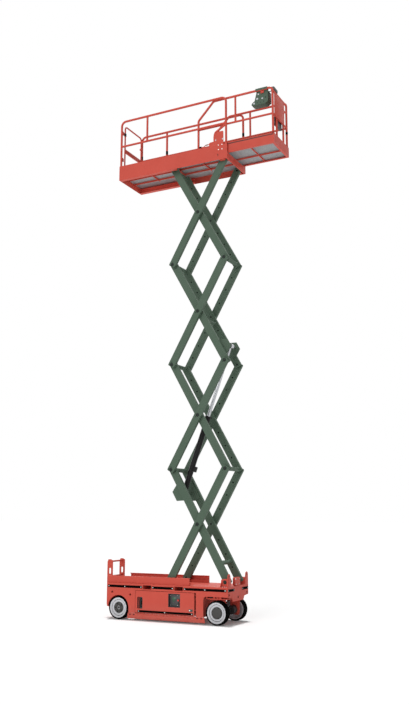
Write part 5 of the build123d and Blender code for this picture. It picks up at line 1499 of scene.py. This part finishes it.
@dataclass
class RollOutDeck:
    """Rails, tread, front sheet, boxes, bands, toe boards and controls of the roll-out deck."""

    finishes: Finishes
    rear: float = 0.162
    front: float = 1.664
    floor: float = 8.05749
    tread_rows: int = 11
    tube_y: float = 0.3267
    tube_radius: float = 0.020
    bar_radius: float = 0.018
    rail_top: float = 9.0765
    rail_mid: float = 8.580
    front_rail: float = 9.018
    bend: float = 0.066
    post_rear: float = 0.185
    post_front: float = 1.6385
    brace_run: float = 0.308
    brace_rise: float = 0.320
    stub_x: float = 0.924
    inner_post_y: float = 0.155
    tie_drop: float = 0.215
    toe_top: float = 8.20749
    toe_out: float = 0.352
    sheet_thick: float = 0.003
    sheet_y: tuple[float, float] = (-0.3025, 0.168)
    sheet_z: tuple[float, float] = (8.561, 9.0005)
    folder_z: tuple[float, float] = (8.452, 8.586)
    control_y: tuple[float, float] = (-0.3064, -0.1564)
    control_top: float = 9.049
    control_profile: tuple[tuple[float, float], ...] = (
        (1.323, 0.0), (1.547, 0.0), (1.547, -0.192), (1.491, -0.232),
        (1.264, -0.232), (1.224, -0.214), (1.239, -0.180), (1.287, -0.147))
    hook_x: tuple[float, float] = (1.323, 1.547)
    hook_top: float = 9.1018
    switch_y: float = -0.215
    lever_y: tuple[float, float] = (-0.3025, -0.1275)
    lever_z: tuple[float, float] = (9.0343, 9.1020)
    lever_face: float = 1.6585
    # pale discs of painted light for the windows
    windows: tuple[Point, ...] = (
        (1.362, 0.036, 0.015), (1.338, 0.118, 0.019), (1.434, 0.128, 0.014), (1.276, 0.194, 0.016))
    marks: tuple[Point, ...] = (
        (1.500, 0.120, 0.011), (1.345, 0.192, 0.008), (1.400, 0.196, 0.008), (1.366, 0.162, 0.006),
        (1.462, 0.190, 0.009))

    @property
    def sheet_back(self) -> float:
        """Where the front sheet lies on the posts."""
        return self.post_front + self.bar_radius + 0.0003

    @property
    def sheet_face(self) -> float:
        """The front sheet's outer face."""
        return self.sheet_back + self.sheet_thick

    @property
    def control_outline(self) -> list[tuple[float, float]]:
        """The control box seen from the side."""
        return [(x, self.control_top + drop) for x, drop in self.control_profile]

    def build(self) -> None:
        """Makes the rails, the boxes and all the fittings of the roll-out deck."""
        self.rails()
        self.tread()
        self.front_sheet()
        self.document_box()
        self.post_bands()
        self.toe_boards()
        self.control_case()
        self.control_switches()
        self.control_marks()
        self.control_lid()
        self.lever_box()

    def tread(self) -> None:
        """The anti-slip floor."""
        bars = Shape().tread(self.rear, self.front - self.rear - 0.10, self.floor, self.tread_rows)
        bars.finish("extension_tread", "extension", "deck_plate", self.finishes.plate)

    def rails(self) -> None:
        """Side hoops with a sloped brace at the rear end, joined by the front rails and posts."""
        tubes = Shape()
        y, x = self.tube_y, self.post_front
        hoop = [(self.post_rear, y, self.floor), (self.post_rear, y, self.rail_top - self.brace_rise),
                (self.post_rear + self.brace_run, y, self.rail_top), (x, y, self.rail_top),
                (x, y, self.floor)]
        tubes.bent(hoop, self.tube_radius, self.bend, 18, 8)
        tubes.bar((self.post_rear, y, self.rail_mid), (x, y, self.rail_mid), self.bar_radius)
        tubes.bar((self.stub_x, y, self.rail_mid), (self.stub_x, y, self.rail_top), self.bar_radius)
        post = self.inner_post_y
        tubes.bar((x, post, self.floor), (x, post, self.front_rail), self.bar_radius)
        for z, up in ((self.rail_mid + self.bar_radius, 1.0), (self.rail_top - self.tube_radius, -1.0)):
            tubes.weld((self.stub_x, y, z), Axis.Z.vector * up, self.bar_radius)
        tubes.mirrored()
        for z in (self.rail_mid, self.front_rail):
            tubes.bar((x, -y, z), (x, y, z), self.bar_radius)
        tie = self.rail_top - self.tie_drop
        tubes.bar((x, post, tie), (x, y, tie), self.bar_radius - 0.003)
        tubes.finish("extension_rail_tubes", "extension", "body_red", self.finishes.red, ["extension_rails"])

    def front_sheet(self) -> None:
        """The front sheet, with a swaged seam and rivets."""
        (right, left), (low, high), face = self.sheet_y, self.sheet_z, self.sheet_face
        sheet = Shape().block((self.sheet_back, right, low), (face, left, high), 0.0008)
        sheet.finish("front_sheet_panel", "extension", "body_red", self.finishes.red, ["front_sheet"])
        middle = low + 0.47 * (high - low)
        seam = Shape().block((face, right + 0.004, middle),
                             (face + 0.0016, left - 0.004, middle + 0.008), 0.0006)
        seam.finish("sheet_seam", "extension", "body_red", self.finishes.red)
        rivets = Shape()
        for y in (-0.155, 0.150):
            for z in (low + 0.04, low + 0.16, high - 0.16, high - 0.03):
                rivets.screw((face, y, z), Axis.X.vector, 0.005, 0.003, 14)
        rivets.finish("sheet_rivets", "extension", "body_red", self.finishes.red)

    def document_box(self) -> None:
        """The dark box for papers behind the front posts."""
        back, (low, high) = self.post_front - self.bar_radius - 0.0005, self.folder_z
        outline = [(back, low), (back, high), (back - 0.022, high), (back - 0.040, high - 0.026),
                   (back - 0.040, low)]
        folder = Shape().plate(outline, Facing.SIDE, -0.196, 0.132, 0.003)
        folder.finish("document_box_case", "extension", "panel_plastic", self.finishes.dark, ["document_box"])

    def post_bands(self) -> None:
        """Black bands on the corner posts, and rubber feet above the toe boards."""
        bands = Shape()
        inside, outside = self.tube_radius + 0.0002, self.tube_radius + 0.0016
        for y, z, tall in ((self.tube_y, 8.455, 0.050), (-self.tube_y, self.toe_top, 0.020),
                           (self.tube_y, self.toe_top, 0.020)):
            bands.sleeve((self.post_front, y, z), inside, outside, tall)
        bands.finish("extension_post_bands", "extension", "black_rubber", self.finishes.strip)

    def toe_boards(self) -> None:
        """Dark strips of painted shadow below the top edges of the toe boards, where the rounded lip above
        them casts its shadow, and that lip.
        """
        top, out = self.toe_top, self.toe_out
        # painted shadow: a thin dark sheet on each toe board where the lip's shadow falls
        strips = Shape().block((self.rear + 0.01, out, top - 0.034),
                               (self.front - 0.012, out + 0.0006, top - 0.014), 0.0002)
        strips.mirrored().finish("toe_wear_strips", "extension", "black_rubber", self.finishes.shade)
        middle, crest = out - 0.0034, top - 0.002
        start, end = (self.rear + 0.006, middle, crest), (self.front - 0.006, middle, crest)
        lips = Shape().bar(start, end, 0.0038, 14)
        lips.mirrored().finish("toe_lips", "extension", "body_red", self.finishes.red)

    def control_case(self) -> None:
        """The control box, with the hook that hangs over the rail."""
        outer, inner = self.control_y
        rear, front, crest = *self.hook_x, self.hook_top
        rail = -self.tube_y - self.tube_radius
        case = Shape().plate(self.control_outline, Facing.SIDE, outer, inner, 0.004)
        case.block((rear, outer, self.control_top), (front, outer + 0.019, crest), 0.001)
        case.block((rear, rail - 0.003, crest - 0.0045), (front, outer, crest), 0.001)
        case.block((rear, rail - 0.003, 9.062), (front, rail - 0.0003, crest), 0.0008)
        case.finish("control_box_case", "extension", "control_green", self.finishes.green, ["control_box"])

    def control_switches(self) -> None:
        """Stop button and switches on the control box."""
        y, top = self.switch_y, self.control_top
        button = Shape()
        button.turned([(0.0, 0.024), (0.012, 0.0235), (0.018, 0.020), (0.019, 0.014), (0.012, 0.010),
                       (0.011, 0.0), (0.0, 0.0)], (1.356, y, top), Axis.Z.vector, 32)
        button.finish("control_stop_button", "extension", "panel_plastic", self.finishes.stop)
        base = [(0.0, 0.010), (0.006, 0.010), (0.008, 0.005), (0.009, 0.0), (0.0, 0.0)]
        switches = Shape()
        for x in (1.400, 1.440, 1.480, 1.520):
            switches.turned(base, (x, y, top), Axis.Z.vector, 20)
            switches.bar((x, y, top + 0.008), (x + 0.004, y, top + 0.026), 0.003, 12, 0.0008, 0.0042)
        switches.finish("control_switches", "extension", "pin_steel", self.finishes.zinc)

    def control_marks(self) -> None:
        """Pale discs of painted light for the control box's windows, where the bright backdrop shows through,
        and dark discs of painted shade for its holes.
        """
        # painted light and shade: pale discs stand for the lit backdrop seen through the windows, dark discs
        # for the shade in the holes
        for name, slot, finish, spots in (
                ("control_box_windows", "rim_grey", self.finishes.rim, self.windows),
                ("control_box_holes", "pin_steel", self.finishes.pin, self.marks)):
            discs = Shape()
            for x, drop, radius in spots:
                spot = (x, self.control_y[0], self.control_top - drop)
                discs.disc(spot, -Axis.Y.vector, radius, 0.0010, 0.0008)
            discs.finish(name, "extension", slot, finish)

    def control_lid(self) -> None:
        """The clamp on the control box's outer face and the lid on its inner face."""
        (outer, inner), top = self.control_y, self.control_top
        clamp = Shape().block((1.412, outer - 0.020, top - 0.034), (1.472, outer, top + 0.006), 0.003)
        clamp.finish("control_clamp", "extension", "body_red", self.finishes.red)
        centre = Vector((1.41, top - 0.13))
        inset = [tuple(centre + (Vector(spot) - centre) * 0.95) for spot in self.control_outline]
        lid = Shape().plate(inset, Facing.SIDE, inner, inner + 0.006, 0.002)
        lid.finish("control_box_lid", "extension", "control_green", self.finishes.console)

    def lever_box(self) -> None:
        """The lever box on the front rail, its dark panels, and the lever's boot and grip."""
        (right, left), (low, high), face = self.lever_y, self.lever_z, self.lever_face
        case = Shape().block((face - 0.062, right, low), (face, left, high), 0.010)
        case.finish("lever_box_case", "extension", "control_green", self.finishes.console)
        panel = Shape()
        panel.block((face, right + 0.010, low + 0.004), (face + 0.003, left - 0.010, high - 0.014), 0.001)
        panel.block((face - 0.056, right - 0.0022, low + 0.006), (face - 0.006, right, high - 0.016), 0.0008)
        panel.finish("lever_box_panel", "extension", "panel_plastic", self.finishes.dark)
        boot = Shape()
        x, y, z = face - 0.062, (right + left) / 2, (low + high) / 2
        boot.turned([(0.0, 0.030), (0.008, 0.030), (0.012, 0.024), (0.010, 0.021), (0.017, 0.016),
                     (0.014, 0.013), (0.023, 0.007), (0.026, 0.0), (0.0, 0.0)], (x, y, z), -Axis.X.vector, 32)
        boot.bar((x - 0.026, y, z), (x - 0.085, y, z), 0.0065, 16, 0.001, 0.0085)
        knob = [(0.0, 0.050), (0.011, 0.048), (0.017, 0.040), (0.018, 0.022), (0.013, 0.004), (0.0, 0.0)]
        boot.turned(knob, (x - 0.080, y, z), -Axis.X.vector, 28)
        boot.finish("drive_lever", "extension", "black_rubber", self.finishes.strip)


@dataclass
class Studio:
    """Floor, light and camera."""

    camera_place: Point = (6.575, -12.662, 1.753)
    yaw: float = 0.470184
    pitch: float = 0.193724
    lens: float = 42.07
    sensor: float = 36.0
    reach: float = 400.0
    floor_size: float = 140.0
    paper: float = 1.0
    paper_glow: float = 0.05
    ambient: float = 0.32
    shadow_lamp: str = "top_lamp"
    shadow_height: float = 1.2
    lamps: tuple[tuple[str, Point, float, float], ...] = (
        ("key_lamp", (-0.10, -1.0, 0.35), 1.20, 40.0), ("top_lamp", (-0.10, 0.13, 1.0), 2.20, 7.0))

    def build(self) -> None:
        """Sets the floor, the light and the camera."""
        self.floor()
        self.sky()
        self.light()
        self.camera()
        bpy.context.scene.view_settings.view_transform = "Standard"

    def floor(self) -> None:
        """A pale floor that fades into the backdrop."""
        shape = bmesh.new()
        bmesh.ops.create_grid(shape, x_segments=1, y_segments=1, size=self.floor_size)
        data = bpy.data.meshes.new("studio_floor")
        shape.to_mesh(data)
        shape.free()
        sheet = NodeSheet("pale_paper")
        sheet.shader.inputs["Roughness"].default_value = 0.9
        sheet.shader.inputs["Specular IOR Level"].default_value = 0.0
        grain = sheet.remap(sheet.noise(6.0, 3.0), (0.3, 0.7), (0.0, 0.06))
        sheet.colour(sheet.mix(grain, (0.88, 0.88, 0.88), (0.84, 0.84, 0.84)))
        seen = sheet.add("ShaderNodeLightPath").outputs["Is Camera Ray"]
        glow = sheet.remap(seen, (0.0, 1.0), (0.0, self.paper_glow))
        sheet.shader.inputs["Emission Color"].default_value = WHITE
        sheet.join(glow, sheet.shader.inputs["Emission Strength"])
        data.materials.append(sheet.material)
        floor = bpy.data.objects.new("studio_floor", data)
        bpy.context.scene.collection.objects.link(floor)

    def sky(self) -> None:
        """An even sky, white where the camera or a reflection sees it."""
        world = bpy.data.worlds.new("studio_sky")
        bpy.context.scene.world = world
        world.use_nodes = True
        tree = world.node_tree
        tree.nodes.clear()
        output = tree.nodes.new("ShaderNodeOutputWorld")
        mix = tree.nodes.new("ShaderNodeMixShader")
        path = tree.nodes.new("ShaderNodeLightPath")
        for entry, strength in ((1, self.ambient), (2, self.paper)):
            shade = tree.nodes.new("ShaderNodeBackground")
            shade.inputs["Color"].default_value = WHITE
            shade.inputs["Strength"].default_value = strength
            tree.links.new(shade.outputs["Background"], mix.inputs[entry])
        seen = path.outputs["Is Camera Ray"]
        for ray in ("Is Glossy Ray", "Is Transmission Ray"):
            either = tree.nodes.new("ShaderNodeMath")
            either.operation = "MAXIMUM"
            tree.links.new(seen, either.inputs[0])
            tree.links.new(path.outputs[ray], either.inputs[1])
            seen = either.outputs["Value"]
        tree.links.new(seen, mix.inputs["Fac"])
        tree.links.new(mix.outputs["Shader"], output.inputs["Surface"])

    def light(self) -> None:
        """A wide key lamp, and a narrower lamp overhead that draws the base's shadow."""
        for name, source, energy, spread in self.lamps:
            lamp = bpy.data.lights.new(name, "SUN")
            lamp.energy = energy
            lamp.angle = math.radians(spread)
            holder = bpy.data.objects.new(name, lamp)
            holder.rotation_euler = Vector(source).to_track_quat("Z", "Y").to_euler()
            bpy.context.scene.collection.objects.link(holder)

    def cast(self) -> None:
        """Lets only the base of the machine cast the overhead lamp's shadow on the floor."""
        group = bpy.data.collections.new("shadow_casters")
        for piece in bpy.context.scene.objects:
            if piece.type != "MESH" or piece.name == "studio_floor":
                continue
            top = max((piece.matrix_world @ Vector(corner)).z for corner in piece.bound_box)
            if top < self.shadow_height:
                group.objects.link(piece)
        bpy.data.objects[self.shadow_lamp].light_linking.blocker_collection = group

    def camera(self) -> None:
        """The camera where the photograph was taken from."""
        lens = bpy.data.cameras.new("photo_camera")
        lens.lens = self.lens
        lens.sensor_width = self.sensor
        lens.clip_end = self.reach
        view = bpy.data.objects.new("photo_camera", lens)
        level = math.cos(self.pitch)
        ahead = Vector((-math.sin(self.yaw) * level, math.cos(self.yaw) * level, math.sin(self.pitch)))
        view.location = self.camera_place
        view.rotation_euler = ahead.to_track_quat("-Z", "Y").to_euler()
        bpy.context.scene.collection.objects.link(view)
        bpy.context.scene.camera = view


LOW_NODES = {"side_plates", "left_tray", "right_tray", "left_guard", "right_guard", "guard_brackets",
             "left_yoke", "right_yoke", "rear_axle"}


def dress_nodes(frame: dict, finishes: Finishes) -> None:
    """Gives every CAD node its finish.

    Args:
        finishes: the finishes.
    """
    slots = {row["node"]: row["material_slot"] for row in frame["record"]["subparts"]}
    for name, node in frame["nodes"].items():
        finish = finishes.low_red if name in LOW_NODES else finishes.for_slot(slots[name])
        if not node.material_slots:
            node.data.materials.append(finish)
        for slot in node.material_slots:
            slot.material = finish


def main() -> None:
    """Builds every sub-assembly in order."""
    logging.basicConfig(level=logging.INFO, format="%(message)s")
    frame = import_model()
    finishes = Finishes.mixed()
    studio = Studio()
    studio.build()
    dress_nodes(frame, finishes)
    for assembly in (Wheels(finishes), Chassis(finishes), ScissorStack(finishes), Platform(finishes),
                     RollOutDeck(finishes)):
        assembly.build()
    studio.cast()


if __name__ == "__main__":
    main()
